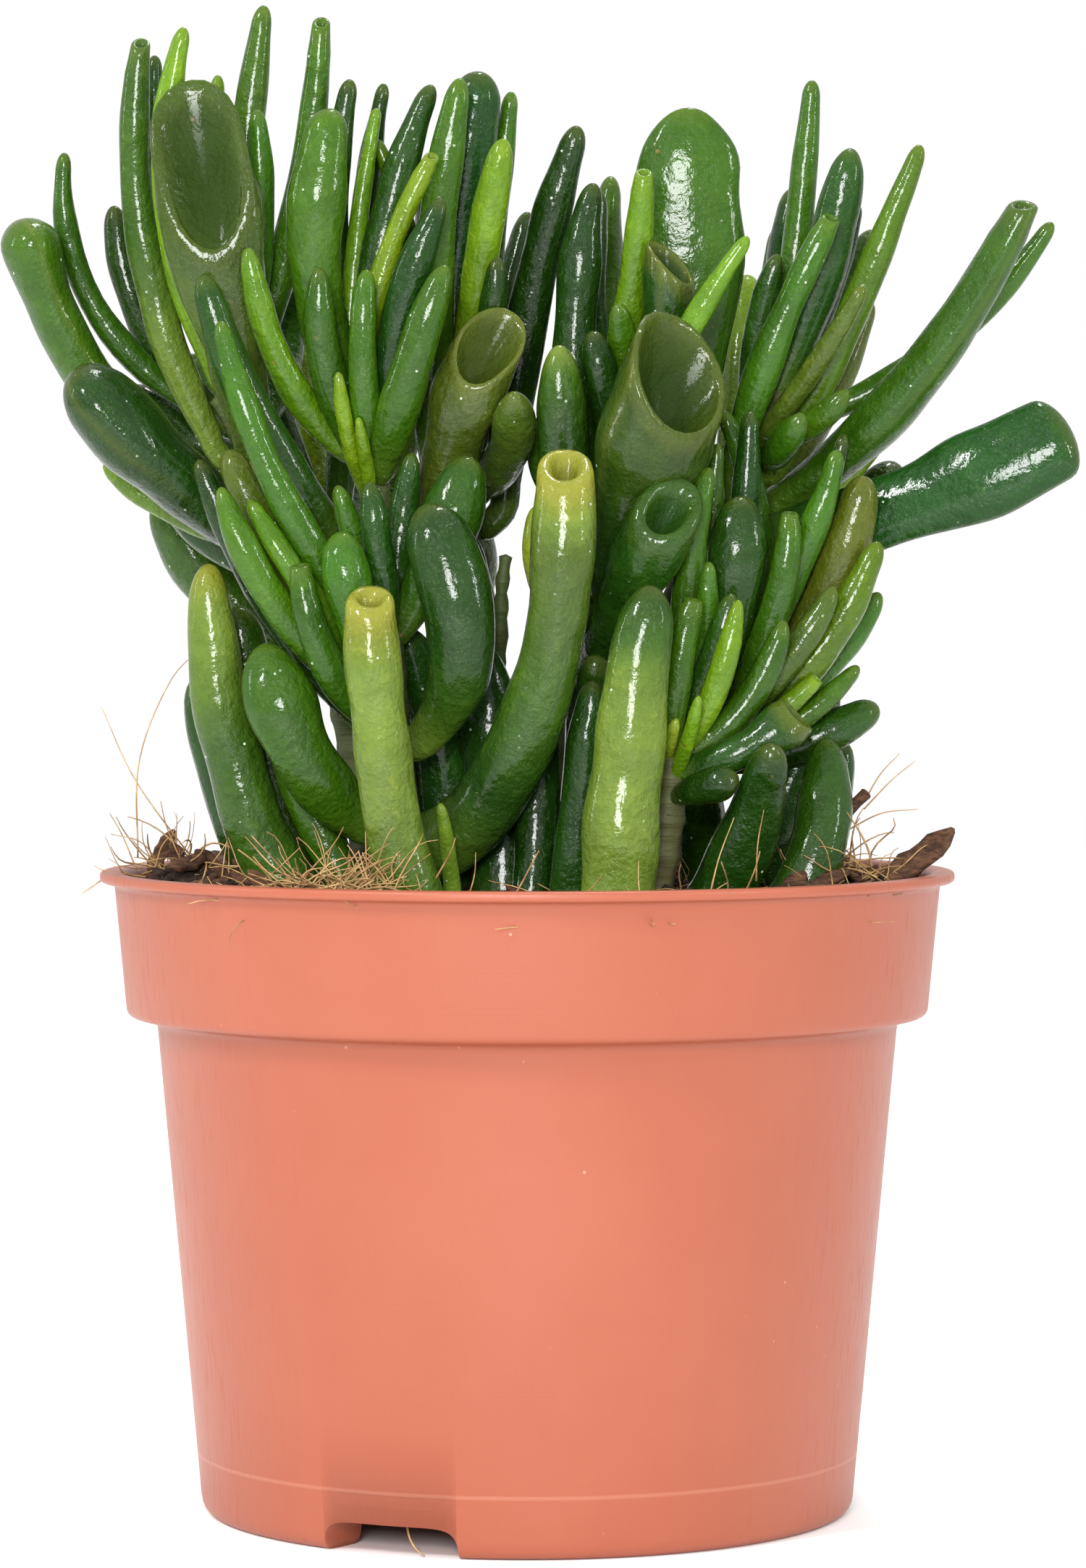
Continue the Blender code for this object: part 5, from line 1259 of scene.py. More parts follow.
    def hold_feet(self, crowd: Crowd, points: Array, steps: Array) -> None:
        """Puts each foot back on its stem and each leaf back to its length.

        Args:
            crowd: the leaves.
            points: (leaf, node, 3) places, which are changed.
            steps: (leaf, node - 1) distances between neighbouring nodes.
        """
        for index, leaf in enumerate(crowd.leaves):
            if crowd.rooted[index]:
                continue
            line, radii = self.lines[leaf.stem]
            foot = points[index, 0].copy()
            if crowd.joined[index]:
                lowest = self.stem_named(leaf.stem).crown_from + self.CROWN_MARGIN
                allowed = line[:, 2] > min(lowest, self.root_limit(leaf))
                line, radii = line[allowed], radii[allowed]
            nearest = np.argmin(((line - foot) ** 2).sum(axis=1))
            points[index, 0] = line[nearest]
            if not crowd.joined[index]:
                points[index, 0] += unit(foot - line[nearest]) * (radii[nearest] + self.FOOT_GAP)
        for node in range(1, self.NODES):
            step = unit(points[:, node] - points[:, node - 1])
            points[:, node] = points[:, node - 1] + step * steps[:, node - 1, None]

    def root_limit(self, leaf: Leaf) -> float:
        """The lowest h for a small leaf's foot; the others keep to their crown."""
        return leaf.root - self.SMALL_LEAF_DROP if leaf in SMALL_LEAVES else math.inf


# The leaves' surfaces.


@dataclass(frozen=True)
class Skin:
    """How the smooth skin of a form runs and ends.

    Attributes:
        knots: (share of the length, share of the width) pairs.
        cap: how long a closed tip's rounding is, in tip radii.
        slant: share of the length that an open end's slant takes, or 0 for a closed tip.
        opening: the hollow's width as a share of the end's.
        sink: the hollow's depth, in tip radii.
        glow: how yellow the lip is.
    """

    knots: tuple[tuple[float, float], ...]
    cap: float = 1.6
    slant: float = 0.0
    opening: float = 0.0
    sink: float = 0.0
    glow: float = 0.1


SKINS = {
    FINGER: Skin(((0, 0.62), (0.42, 1), (0.76, 0.88), (1, 0.56)), 1.9),
    STOUT: Skin(((0, 1), (0.4, 0.99), (0.75, 0.88), (1, 0.6)), 1.6),
    PADDLE: Skin(((0, 0.46), (0.42, 0.84), (0.74, 1), (1, 0.74)), 1.3),
    BLADE: Skin(((0, 0.42), (0.4, 0.74), (0.88, 1), (1, 0.95)), 0.5),
    TUBE: Skin(((0, 0.62), (0.45, 1), (0.8, 0.84), (0.94, 0.72), (1, 0.56)), 1, 0.03, 0.4, 0.6, 0.06),
    STOUT_TUBE: Skin(
        ((0, 1), (0.35, 0.88), (0.66, 0.8), (0.88, 0.88), (1, 0.7)), 1, 0.075, 0.42, 0.8, 0.55
    ),
    TRUMPET: Skin(((0, 0.5), (0.6, 0.68), (0.92, 1), (1, 0.9)), 1, 0.12, 0.72, 0.7, 0.25),
    CUP: Skin(((0, 0.42), (0.5, 0.78), (0.84, 1), (1, 0.86)), 1, 0.26, 0.84, 0.9, 0.12),
    SPOON: Skin(((0, 0.32), (0.5, 0.56), (0.84, 1.06), (1, 0.96)), 1, 0.42, 0.74, 0.5, 0.02),
}

# The leaves whose outline is their own.
NAMED_SKINS = {
    "leaf_left_trumpet": Skin(((0, 0.5), (0.45, 0.78), (0.78, 0.8), (0.93, 1), (1, 0.86)), 0.8),
    "leaf_round_blade": Skin(((0, 0.36), (0.4, 0.72), (0.68, 1), (0.88, 0.88), (1, 0.62)), 1),
    "leaf_far_right": Skin(((0, 0.42), (0.35, 0.76), (0.84, 0.98), (1, 0.94)), 0.5),
    "leaf_left_fat": Skin(((0, 0.5), (0.35, 0.86), (0.7, 1), (1, 0.86)), 1.1),
    "leaf_big_cup": Skin(((0, 0.42), (0.45, 0.84), (0.8, 1.2), (1, 1.12)), 1, 0.26, 0.84, 0.8, 0.1),
    "leaf_curled_cup": Skin(((0, 0.42), (0.6, 0.82), (0.84, 1.06), (1, 0.95)), 1, 0.2, 0.5, 0.5, 0),
}

YELLOW = (0.2, 0.2, 0.015)
LIME = (0.13, 0.195, 0.024)
MOSS = (0.034, 0.085, 0.006)
DEEP = (0.012, 0.042, 0.004)
SAGE = (0.062, 0.1, 0.012)
SHADY = (0.026, 0.055, 0.004)

# Colours along the leaves that change most: (share of the length, colour) pairs.
SHADES = {
    "leaf_front_tube": ((0, DEEP), (0.2, MOSS), (0.45, LIME), (0.86, LIME), (1, YELLOW)),
    "leaf_front_pale": ((0, LIME), (0.3, LIME), (0.7, LIME), (0.85, MOSS), (1, DEEP)),
    "leaf_centre_front": ((0, DEEP), (0.3, DEEP), (0.55, MOSS), (0.88, SAGE), (0.95, LIME), (1, YELLOW)),
    "leaf_low_left": ((0, DEEP), (0.25, MOSS), (0.6, MOSS), (0.9, LIME), (1, YELLOW)),
    "leaf_curved_hook": ((0, LIME), (0.2, MOSS), (0.5, DEEP), (1, DEEP)),
    "leaf_centre_pointed": ((0, DEEP), (0.6, DEEP), (0.9, MOSS), (1, LIME)),
    "leaf_left_tall": ((0, LIME), (0.2, LIME), (0.6, MOSS), (1, MOSS)),
    "leaf_big_cup": ((0, DEEP), (0.5, DEEP), (0.8, SHADY), (1, SHADY)),
    "leaf_spoon": ((0, LIME), (0.3, SAGE), (0.8, SAGE), (1, SHADY)),
}


@dataclass(frozen=True)
class LeafSurface:
    """One leaf's smooth skin.

    Attributes:
        leaf: what it is.
        line: its settled line.
        seed: makes its lumps and its shade its own.
        lift: the soil's level.
        rings: how many rings from the foot to the tip.
        sides: how many points in a ring.
    """

    leaf: Leaf
    line: Array
    seed: int
    lift: float
    rings: int = 44
    sides: int = 24

    @property
    def form(self) -> Skin:
        """How its skin runs."""
        return NAMED_SKINS.get(self.leaf.name, SKINS[self.leaf.form])

    @property
    def length(self) -> float:
        """The length of the line."""
        return float(np.linalg.norm(np.diff(self.line, axis=0), axis=1).sum())

    @property
    def size(self) -> Array:
        """Half the width and half the depth."""
        return np.array([self.leaf.width, self.leaf.depth]) * 0.5 * Planting.GIRTH

    def colours(self, shares: Array) -> Array:
        """The colour along the leaf: its own shades, or its tint made a little lighter or bluer by chance.

        Args:
            shares: shares of the length.

        Returns:
            Red, green and blue for each share.
        """
        draw = np.random.default_rng(self.seed)
        shades = SHADES.get(self.leaf.name)
        if shades:
            places = [place for place, _ in shades]
            channels = [[colour[channel] for _, colour in shades] for channel in range(3)]
            return np.stack([np.interp(shares, places, channel) for channel in channels], axis=-1)
        shade = draw.uniform(0.72, 1.35)
        hue = draw.normal(0.0, 0.08)
        tint = np.array(self.leaf.tint.value) * shade * np.array([1.0 + 1.6 * hue, 1.0, 1.0 - 1.5 * hue])
        return np.broadcast_to(tint, (*shares.shape, 3))

    def girth(self, shares: Array) -> Array:
        """The outline along the leaf, times its rounded ends and lumps: outline (1 + 0.04 waves)."""
        radius = self.size[0]
        knots = self.form.knots
        foot = np.clip(shares * self.length / (radius * knots[0][1]), 0.0, 1.0)
        close = np.sqrt(1.0 - (1.0 - foot) ** 2)
        if not self.form.slant:
            tip = np.clip((1.0 - shares) * self.length / (self.form.cap * radius * knots[-1][1]), 0.0, 1.0)
            close = close * (1.0 - (1.0 - tip) ** 2) ** 0.5
        lumps = waves(np.stack([shares * self.length, 0.0 * shares], axis=-1), 9.0, self.seed)
        return Planting.taper(self.form, shares) * close * (1.0 + 0.04 * lumps)

    def skin(self) -> tuple[Array, Array, Array, Array, Array]:
        """The outside: a slightly flattened ellipse carried along the line.

        A point is line(s) + W(s) cos(a) across + D(s) (sin(a) - 0.1 sin(a)^2) out, where s falls
        towards a mouth's face by slant (1 + sin a) / 2, so that an open end is cut slantwise.

        Returns:
            (ring, side, 3) points, the rings' shares, the angles, and the ways ahead and out at each point.
        """
        form = self.form
        steps = np.linspace(0.0, 1.0, self.rings + 2)[1:-1]
        shares = 0.5 * (1.0 - np.cos(np.pi * steps))
        if form.slant:
            steps = np.linspace(0.0, 1.0, self.rings + 1)[1:]
            shares = 0.45 * (1.0 - np.cos(0.5 * np.pi * steps)) + 0.55 * steps
        angles = angles_round(self.sides) + 0.5 * np.pi
        slant = 1.0 - form.slant * (0.5 * (1.0 + np.sin(angles))) ** 1.15
        places = shares[:, None] * slant[None, :]
        centres = spline(self.line, places)
        nudge = 1e-3
        ahead = unit(spline(self.line, np.minimum(places + nudge, 1.0)) - spline(self.line, places - nudge))
        facing = np.broadcast_to(np.array(self.leaf.faces, float), ahead.shape)
        out = unit(facing - (facing * ahead).sum(-1, keepdims=True) * ahead)
        across = np.cross(ahead, out)
        girth = self.girth(shares)[:, None]
        sideways = 3.0 * across * np.cos(angles)[None, :, None]
        swell = 1.0 + 0.045 * waves(centres + sideways, 6.0, self.seed + 9)
        wide = girth * self.size[0] * swell * np.cos(angles)[None, :]
        deep = girth * self.size[1] * swell * (np.sin(angles) - 0.1 * np.sin(angles) ** 2)[None, :]
        return centres + wide[..., None] * across + deep[..., None] * out, shares, angles, ahead, out

    def mouth(self, lip: Array, ahead: Array, out: Array) -> tuple[Array, Array]:
        """The rounded lip and the hollow behind it.

        The lip is half a circle over its own thickness. The hollow is the edge drawn towards the middle and
        sunk by d (1 - q^2)^1.1, where q falls from 1 at the lip to 0 in the middle.

        Args:
            lip: the skin's last ring.
            ahead: the way ahead at the lip.
            out: the way out of the leaf's face at the lip.

        Returns:
            The rings of the lip and the hollow, and the pole in the middle.
        """
        form = self.form
        middle = lip.mean(axis=0)
        tip_radius = self.size[0] * form.knots[-1][1]
        sink = form.sink * tip_radius * ahead.mean(axis=0)
        sink = sink + 0.6 * form.slant * self.size[1] * out.mean(axis=0)
        spokes = lip - middle
        reach = np.linalg.norm(spokes, axis=1, keepdims=True)
        thick = np.minimum(0.5 * (1.0 - form.opening) * reach, 1.1)
        rings = []
        for turn in np.linspace(0.2, 1.0, 5) * math.pi:
            inwards = thick * (1.0 - math.cos(turn)) * spokes / np.maximum(reach, 1e-6)
            rings.append(lip - inwards + 1.15 * thick * math.sin(turn) * ahead)
        edge = rings[-1]
        for share in (0.92, 0.8, 0.64, 0.46, 0.28, 0.12):
            rings.append(middle + share * (edge - middle) - sink * (1.0 - share**2) ** 1.1)
        return np.array(rings), middle - sink

    def shell(self) -> Shell:
        """The closed skin with its marks.

        Returns:
            The shell.
        """
        rings, shares, angles, ahead, out = self.skin()
        form = self.form
        start, end = self.line[0], self.line[-1]
        along = np.broadcast_to(shares[:, None], rings.shape[:2])
        margin = 1.0 - smoothstep(np.abs(np.sin(angles)) / 0.14)
        rim = 0.12 * margin[None, :] * smoothstep((along - 0.3) / 0.5)
        rim = rim + (0.06 + 0.7 * form.glow) * smoothstep((along - 1.0) * self.length / 3.0 + 1.0)
        hollow = np.zeros(rings.shape[:2])
        if form.slant:
            inside, end = self.mouth(rings[-1], ahead[-1], out[-1])
            rings = np.concatenate([rings, inside])
            along = np.concatenate([along, np.ones(inside.shape[:2])])
            fade = np.array([1, 1, 1, 0.9, 0.7, 0.35, 0.15, 0, 0, 0, 0])[:, None]
            rim = np.concatenate([rim, np.broadcast_to(fade * (0.04 + 0.96 * form.glow), inside.shape[:2])])
            # The hollow's mark, ring by ring from the lip inwards: how far the skin darkens it as painted
            # shade.
            dark = np.array([0, 0, 0, 0.1, 0.3, 0.6, 0.8, 0.9, 1, 1, 1])[:, None]
            hollow = np.concatenate([hollow, np.broadcast_to(dark, inside.shape[:2])])
        shell = tube(rings, start, end)
        shell.vertices = raised(shell.vertices, self.lift)
        seed = (self.seed * 7.31) % 97.0
        round_way = np.broadcast_to(np.abs(np.sin(0.5 * (angles - 0.5 * np.pi)))[None, :], rings.shape[:2])
        width = round_way * 2.2 * self.size[0]
        way = np.stack([width + seed, along * self.length, 0.0 * along + seed], axis=-1)
        shell.marks = {
            "tint": self.with_poles(self.colours(along)),
            "way": self.with_poles(way),
            "parts": self.with_poles(np.stack([along, rim, hollow], axis=-1)),
        }
        return shell

    @staticmethod
    def with_poles(values: Array) -> Array:
        """A mark's rows for all of a tube's points, where a pole takes its ring's mean."""
        return np.vstack([values[0].mean(axis=0), values.reshape(-1, 3), values[-1].mean(axis=0)])


@dataclass
class Foliage:
    """All leaves and stems.

    Attributes:
        planting: where they grow.
        lift: the soil's level, in millimetres.
    """

    planting: Planting
    lift: float

    def seated(self, leaf: Leaf, line: Array) -> Array:
        """The line with a foot that goes on into its stem, or down to the crown's middle."""
        if not leaf.name or not leaf.stem:
            return line
        stem_line, _ = self.planting.lines[leaf.stem]
        nearest = stem_line[np.argmin(((stem_line - line[0]) ** 2).sum(axis=1))]
        moved = line.copy()
        moved[0] = 0.35 * line[0] + 0.65 * nearest
        return moved

    def core(self, stem: Stem, low: float, high: float) -> Shell:
        """A stretch of a stem: r(s) (0.97 + 0.1 sharp waves), which makes rings like old leaf scars.

        Args:
            stem: the stem.
            low: h where it starts; below 0 it goes down to the roots.
            high: h where it ends.

        Returns:
            The shell.
        """
        points, radii = Planting.stem_line(stem, 90)
        kept = (points[:, 2] >= low) & (points[:, 2] <= high)
        line, radii = points[kept], radii[kept]
        if low < 0.0:
            line = np.vstack([line[0] - [0.0, 0.0, 7.0], line])
            radii = np.concatenate([radii[:1], radii])
        scars = np.abs(np.sin(line[:, 2] * 0.62 + stem.radius * 9.0)) ** 6
        return carried(raised(line, self.lift), radii * (0.97 + 0.1 * scars), 20)

    def build(self) -> None:
        """Makes every leaf, crown and stem, in place of its solid."""
        skin = LeafSkin().material()
        bark = StemBark().material()
        crowns: dict[str, list[Shell]] = {}
        for index, (leaf, line) in enumerate(zip(self.planting.leaves, self.planting.points)):
            surface = LeafSurface(leaf, self.seated(leaf, line), index + 1, self.lift)
            if not leaf.name:
                crowns.setdefault(leaf.stem, []).append(surface.shell())
                continue
            piece = make_piece(f"skin_{leaf.name}", surface.shell(), skin)
            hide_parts(leaf.name)
        for stem in STEMS:
            low = self.core(stem, -1.0, stem.crown_from + 1.0)
            trunk = make_piece(f"bark_{stem.name}", low, bark)
            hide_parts(f"stem_{stem.name}")
            top = self.core(stem, stem.crown_from + 0.5, stem.path[2][2] + 1.0)
            make_piece(f"tip_{stem.name}", top, bark)
            crown = Shell.joined(crowns[stem.name])
            piece = make_piece(f"skin_crown_{stem.name}", crown, skin)
            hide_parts(f"crown_{stem.name}")
        small = []
        for index, (leaf, line) in enumerate(zip(self.planting.small, self.planting.small_points)):
            small.append(LeafSurface(leaf, line, index + 301, self.lift, 30, 16).shell())
        make_piece("small_leaves", Shell.joined(small), skin)
        self.build_woody_shoot(bark)

    def build_woody_shoot(self, bark: bpy.types.Material) -> None:
        """A short dry shoot between the middle stems."""
        places = np.array([(-4.5, -3, 30), (-3.8, -5, 36), (-3.6, -6, 42), (-3, -6.5, 47)])
        line = spline(places, np.linspace(0, 1, 16))
        radii = 1.0 + 0.35 * np.abs(np.sin(np.linspace(0.0, 14.0, 16))) - np.linspace(0.0, 0.4, 16)
        make_piece("dry_shoot", carried(raised(line, self.lift), radii, 12), bark)


# The pot.


@dataclass
class Pot:
    """The moulded pot: a profile turned about the pot's axis, with notches in its foot ring.

    Sizes follow the solid's: its box gives the height and the lip's radius.
    """

    height: float
    lip_radius: float
    wall: float = 1.4
    lip_thickness: float = 1.4
    overhang: float = 2.0
    collar_height: float = 20.0
    collar_draft: float = 5.4
    shoulder_step: float = 4.1
    draft: float = 5.2
    floor_lift: float = 4.6
    ring_width: float = 8.0
    notch_width: float = 20.0
    notch_height: float = 4.2
    notch_angles: tuple[float, ...] = (-24.0, 96.0, 216.0)
    drain_radius: float = 4.0
    drain_circle: float = 22.0

    def collar_at(self, height: float) -> float:
        """The outside radius at a height on the collar."""
        below = self.height - self.lip_thickness - height
        return self.lip_radius - self.overhang - below * math.tan(math.radians(self.collar_draft))

    def body_at(self, height: float) -> float:
        """The outside radius at a height on the body."""
        base = self.height - self.collar_height
        lean = (base - height) * math.tan(math.radians(self.draft))
        return self.collar_at(base) - self.shoulder_step - lean

    @staticmethod
    def rounded(corners: list[tuple[float, float, float]], steps: int = 6) -> Array:
        """A profile with its corners rounded by parabolas: b + (1-t)^2 (p - b) + t^2 (n - b).

        Args:
            corners: (radius, height, rounding) of each corner.
            steps: points in each rounding.

        Returns:
            (point, 2) radii and heights.
        """
        points = []
        places = np.array([corner[:2] for corner in corners])
        for index, (_, _, rounding) in enumerate(corners):
            here = places[index]
            if rounding == 0.0 or index in (0, len(corners) - 1):
                points.append(here)
                continue
            before, after = places[index - 1] - here, places[index + 1] - here
            before *= min(rounding, 0.48 * np.linalg.norm(before)) / np.linalg.norm(before)
            after *= min(rounding, 0.48 * np.linalg.norm(after)) / np.linalg.norm(after)
            for t in np.linspace(0.0, 1.0, steps):
                points.append(here + (1.0 - t) ** 2 * before + t**2 * after)
        return np.array(points)

    def profile(self) -> Array:
        """The pot's section, from the middle of the floor's underside round to its upper side."""
        base = self.height - self.collar_height
        low = self.height - self.lip_thickness
        foot = self.body_at(0.0)
        ring = foot - self.ring_width
        thick = self.wall
        floor = self.floor_lift + thick
        inner = self.collar_at(low) - thick
        return self.rounded(
            [
                (0.6, self.floor_lift, 0.0),
                (ring - 0.6, self.floor_lift, 1.4),
                (ring + 0.4, 0.0, 1.2),
                (foot - 4.0, 0.0, 0.0),
                (foot, 0.0, 2.4),
                *((self.body_at(share * base), share * base, 0.0) for share in (0.25, 0.5, 0.75)),
                (self.body_at(base - 0.6), base - 0.6, 1.3),
                (self.collar_at(base), base - 0.1, 1.0),
                *((self.collar_at(base + rise), base + rise, 0.0) for rise in (7.0, 13.0)),
                (self.collar_at(low), low - 0.1, 0.9),
                (self.lip_radius, low, 0.6),
                (self.lip_radius, self.height, 0.6),
                (inner, self.height, 1.0),
                (inner - 0.8, base + thick + 2.0, 1.0),
                (self.body_at(base) - thick, base + thick, 1.5),
                (self.body_at(floor) - thick, floor, 3.0),
                (0.6, floor, 0.0),
            ]
        )

    def notch(self, angles: Array) -> Array:
        """How far the foot ring's underside is raised at each angle round the pot.

        Across a notch it is h (1 - |x / w|^n)^(1/n) with a high n: flat on top, with rounded corners
        and upright sides.

        Args:
            angles: angles from the +X axis.

        Returns:
            The rise.
        """
        rise = np.zeros_like(angles)
        for notch in self.notch_angles:
            middle = math.radians(notch - 90.0)
            turn = (angles - middle + np.pi) % (2.0 * np.pi) - np.pi
            share = np.clip(np.abs(turn) * self.body_at(0.0) / (0.5 * self.notch_width), 0.0, 1.0)
            rise = np.maximum(rise, self.notch_height * (1.0 - share**7) ** (1.0 / 3.2))
        return rise

    def angles(self) -> Array:
        """Angles round the pot, close together at the notches' sides."""
        even = np.linspace(0.0, 2.0 * np.pi, 240, endpoint=False)
        extra = []
        for notch in self.notch_angles:
            middle = math.radians(notch - 90.0)
            half = 0.5 * self.notch_width / self.body_at(0.0)
            for side in (-1.0, 1.0):
                spacing = np.concatenate([-np.geomspace(0.05, 0.0004, 16), [0.0, 0.0012]])
                extra.append(middle + side * (half + spacing))
        every = np.concatenate([even, *extra]) % (2.0 * np.pi)
        every = np.sort(every)
        return every[np.diff(every, append=every[0] + 2.0 * np.pi) > 1e-4]

    def shell(self) -> Shell:
        """The pot's surface: (r cos a, r sin a, max(z, notch(a))), where the notch lifts the ring only."""
        profile = self.profile()
        angles = self.angles()
        radius = profile[:, 0, None] + 0.0 * angles[None, :]
        height = profile[:, 1, None] + 0.0 * angles[None, :]
        outer = np.arange(len(profile))[:, None] < len(profile) // 2
        raised = np.maximum(height, self.notch(angles)[None, :])
        height = np.where(outer & (height < self.notch_height + 0.4), raised, height)
        rings = np.stack([radius * np.cos(angles), radius * np.sin(angles), height], axis=-1)
        start = np.array([0.0, 0.0, profile[0, 1]])
        end = np.array([0.0, 0.0, profile[-1, 1]])
        return tube(rings, start, end)

    def build(self) -> None:
        """Makes the pot in place of its solid, with its drain holes cut."""
        piece = make_piece("moulded_pot", self.shell(), PotPlastic().material())
        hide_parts("pot")
        self.cut_drains(piece)

    def cut_drains(self, piece: bpy.types.Object) -> None:
        """Cuts the three round drain holes through the floor.

        Args:
            piece: the pot.
        """
        middle = 0.5 * (2.0 * self.floor_lift + self.wall)
        line = np.array([[0.0, 0.0, middle - 1.6], [0.0, 0.0, middle], [0.0, 0.0, middle + 1.6]])
        drills = []
        for notch in self.notch_angles:
            heading = math.radians(notch - 90.0)
            centre = self.drain_circle * np.array([math.cos(heading), math.sin(heading), 0.0])
            drills.append(carried(line + centre, np.full(3, self.drain_radius), 40))
        mesh = bpy.data.meshes.new("drills")
        drill = Shell.joined(drills)
        faces = [*drill.quads.tolist(), *drill.triangles.tolist()]
        mesh.from_pydata((drill.vertices * MM).tolist(), [], faces)
        cutter = added("drills", mesh)
        step = piece.modifiers.new("drains", "BOOLEAN")
        step.object = cutter
        step.operation = "DIFFERENCE"
        step.solver = "MANIFOLD"
        graph = bpy.context.evaluated_depsgraph_get()
        result = bpy.data.meshes.new_from_object(piece.evaluated_get(graph))
        piece.modifiers.clear()
        if len(result.vertices) > 0.5 * len(piece.data.vertices):
            piece.data = result
        bpy.data.objects.remove(cutter, do_unlink=True)


# The soil and what lies on it.


@dataclass
class Soil:
    """Peat with crumbs, bark, coir fibres and perlite.

    Attributes:
        level: the soil's level in the middle, in millimetres.
        radius: the soil's radius.
        heaps: each heap's place to the right and back, width and height.
    """

    level: float
    radius: float
    heaps: tuple[tuple[float, float, float, float], ...] = (
        (-42, 18, 15, 3.6),
        (-30, 42, 14, 3.4),
        (-49, -9, 10, 4.2),
        (-41, -27, 8, 2.6),
        (8, 50, 14, 2.8),
        (38, 38, 15, 3.2),
        (48, 12, 11, 3),
        (46, -16, 10, 4),
        (36, -32, 7, 1.8),
        (-24, -36, 11, 1.8),
    )

    # The large chips' middles, headings, flat sides and sizes.
    LARGE_CHIPS: ClassVar = (
        ((54, -12, 5), (9, 0, 6.2), (-0.5, -0.8, 0.8), (13, 4.6, 1.6)),
        ((-48.6, -6, 4.2), (1.6, 0, -4.6), (0, -1, 0.2), (6, 2.6, 1)),
        ((-44, -8, 3.8), (3.6, 0, -3.6), (0, -1, 0.3), (6.4, 3, 1.1)),
        ((-52, 8, 5.2), (2, 1, 3.4), (0, -1, 0.3), (7, 2.4, 1)),
        ((40, -22, 2.6), (5, -1, 1), (0, -1, 1), (9, 2.6, 1.3)),
        ((-16, 48, 5.2), (4, 1, 1.4), (0, -0.6, 1), (8, 3, 1.2)),
        ((30, 44, 5.6), (4, -1, 1.8), (0, -0.6, 1), (9, 3.2, 1.4)),
    )

    def surface(self, x: Array, y: Array) -> Array:
        """The soil's height: its dome, heaps h exp(-d^2 / w^2), and lumps of two sizes.

        Args:
            x: places to the right.
            y: places to the back.

        Returns:
            The heights.
        """
        height = self.level + Planting.soil_rise(x, y)
        for across, back, width, rise in self.heaps:
            height = height + rise * np.exp(-((x - across) ** 2 + (y - back) ** 2) / width**2)
        flat = np.stack([x, y], axis=-1)
        edge = np.clip((self.radius - np.hypot(x, y)) / 5.0, 0.0, 1.0)
        lumps = 0.55 * waves(flat, 5.5, 3) + 0.3 * waves(flat, 2.4, 4)
        return height + lumps * (0.35 + 0.65 * edge) - 1.2 * (1.0 - edge) ** 2

    def bed(self) -> Shell:
        """The soil's top and side: rings of the surface's height from the middle out, then down the wall."""
        angles = angles_round(168)
        shares = np.linspace(0.02, 1.0, 58)
        x = self.radius * shares[:, None] * np.cos(angles)
        y = self.radius * shares[:, None] * np.sin(angles)
        top = np.stack([x, y, self.surface(x, y)], axis=-1)
        low = top[-1:].copy()
        low[..., 2] = self.level - 8.0
        base = top[0:1] * [1.0, 1.0, 0.0] + [0.0, 0.0, self.level - 8.0]
        middle = np.array([0.0, 0.0, float(self.surface(np.array(0.0), np.array(0.0)))])
        return tube(np.concatenate([top, low, base]), middle, np.array([0.0, 0.0, self.level - 8.0]))

    def scattered(self, count: int, seed: int, inner: float = 0.0) -> Array:
        """Random places on the soil, thicker towards the heaps' height.

        Args:
            count: how many.
            seed: which draw.
            inner: the smallest radius.

        Returns:
            (count, 3) places.
        """
        draw = np.random.default_rng(seed)
        radius = np.sqrt(draw.uniform(inner**2, (self.radius - 1.0) ** 2, count))
        angle = draw.uniform(0.0, 2.0 * np.pi, count)
        x, y = radius * np.cos(angle), radius * np.sin(angle)
        return np.stack([x, y, self.surface(x, y)], axis=-1)

    @staticmethod
    def lumps(places: Array, sizes: Array, seed: int, rough: float, flat: float = 0.7) -> Shell:
        """Irregular lumps: an icosahedron's 12 corners at random distances, turned and squashed.

        Args:
            places: (count, 3) centres.
            sizes: (count,) radii.
            seed: which draw.
            rough: how much the corners' distances vary.
            flat: their height as a share of their width.

        Returns:
            One shell of them all.
        """
        golden = 0.5 * (1.0 + math.sqrt(5.0))
        corners = unit(
            np.array(
                [(-1, golden, 0), (1, golden, 0), (-1, -golden, 0), (1, -golden, 0)]
                + [(0, -1, golden), (0, 1, golden), (0, -1, -golden), (0, 1, -golden)]
                + [(golden, 0, -1), (golden, 0, 1), (-golden, 0, -1), (-golden, 0, 1)],
                float,
            )
        )
        faces = np.array(
            [(0, 11, 5), (0, 5, 1), (0, 1, 7), (0, 7, 10), (0, 10, 11), (1, 5, 9), (5, 11, 4)]
            + [(11, 10, 2), (10, 7, 6), (7, 1, 8), (3, 9, 4), (3, 4, 2), (3, 2, 6), (3, 6, 8)]
            + [(3, 8, 9), (4, 9, 5), (2, 4, 11), (6, 2, 10), (8, 6, 7), (9, 8, 1)]
        )
        draw = np.random.default_rng(seed)
        count = len(places)
        frame, _ = np.linalg.qr(draw.normal(size=(count, 3, 3)))
        reach = draw.uniform(1.0 - rough, 1.0 + rough, (count, 12, 1))
        stretch = draw.uniform(0.6, 1.3, (count, 1, 3))
        points = (corners[None] * reach * stretch) @ frame
        points[..., 2] *= flat
        points = points * sizes[:, None, None] + places[:, None, :]
        shell = Shell(
            points.reshape(-1, 3),
            np.zeros((0, 4), int),
            (faces[None] + 12 * np.arange(count)[:, None, None]).reshape(-1, 3),
        )
        return shell.faced_outwards()

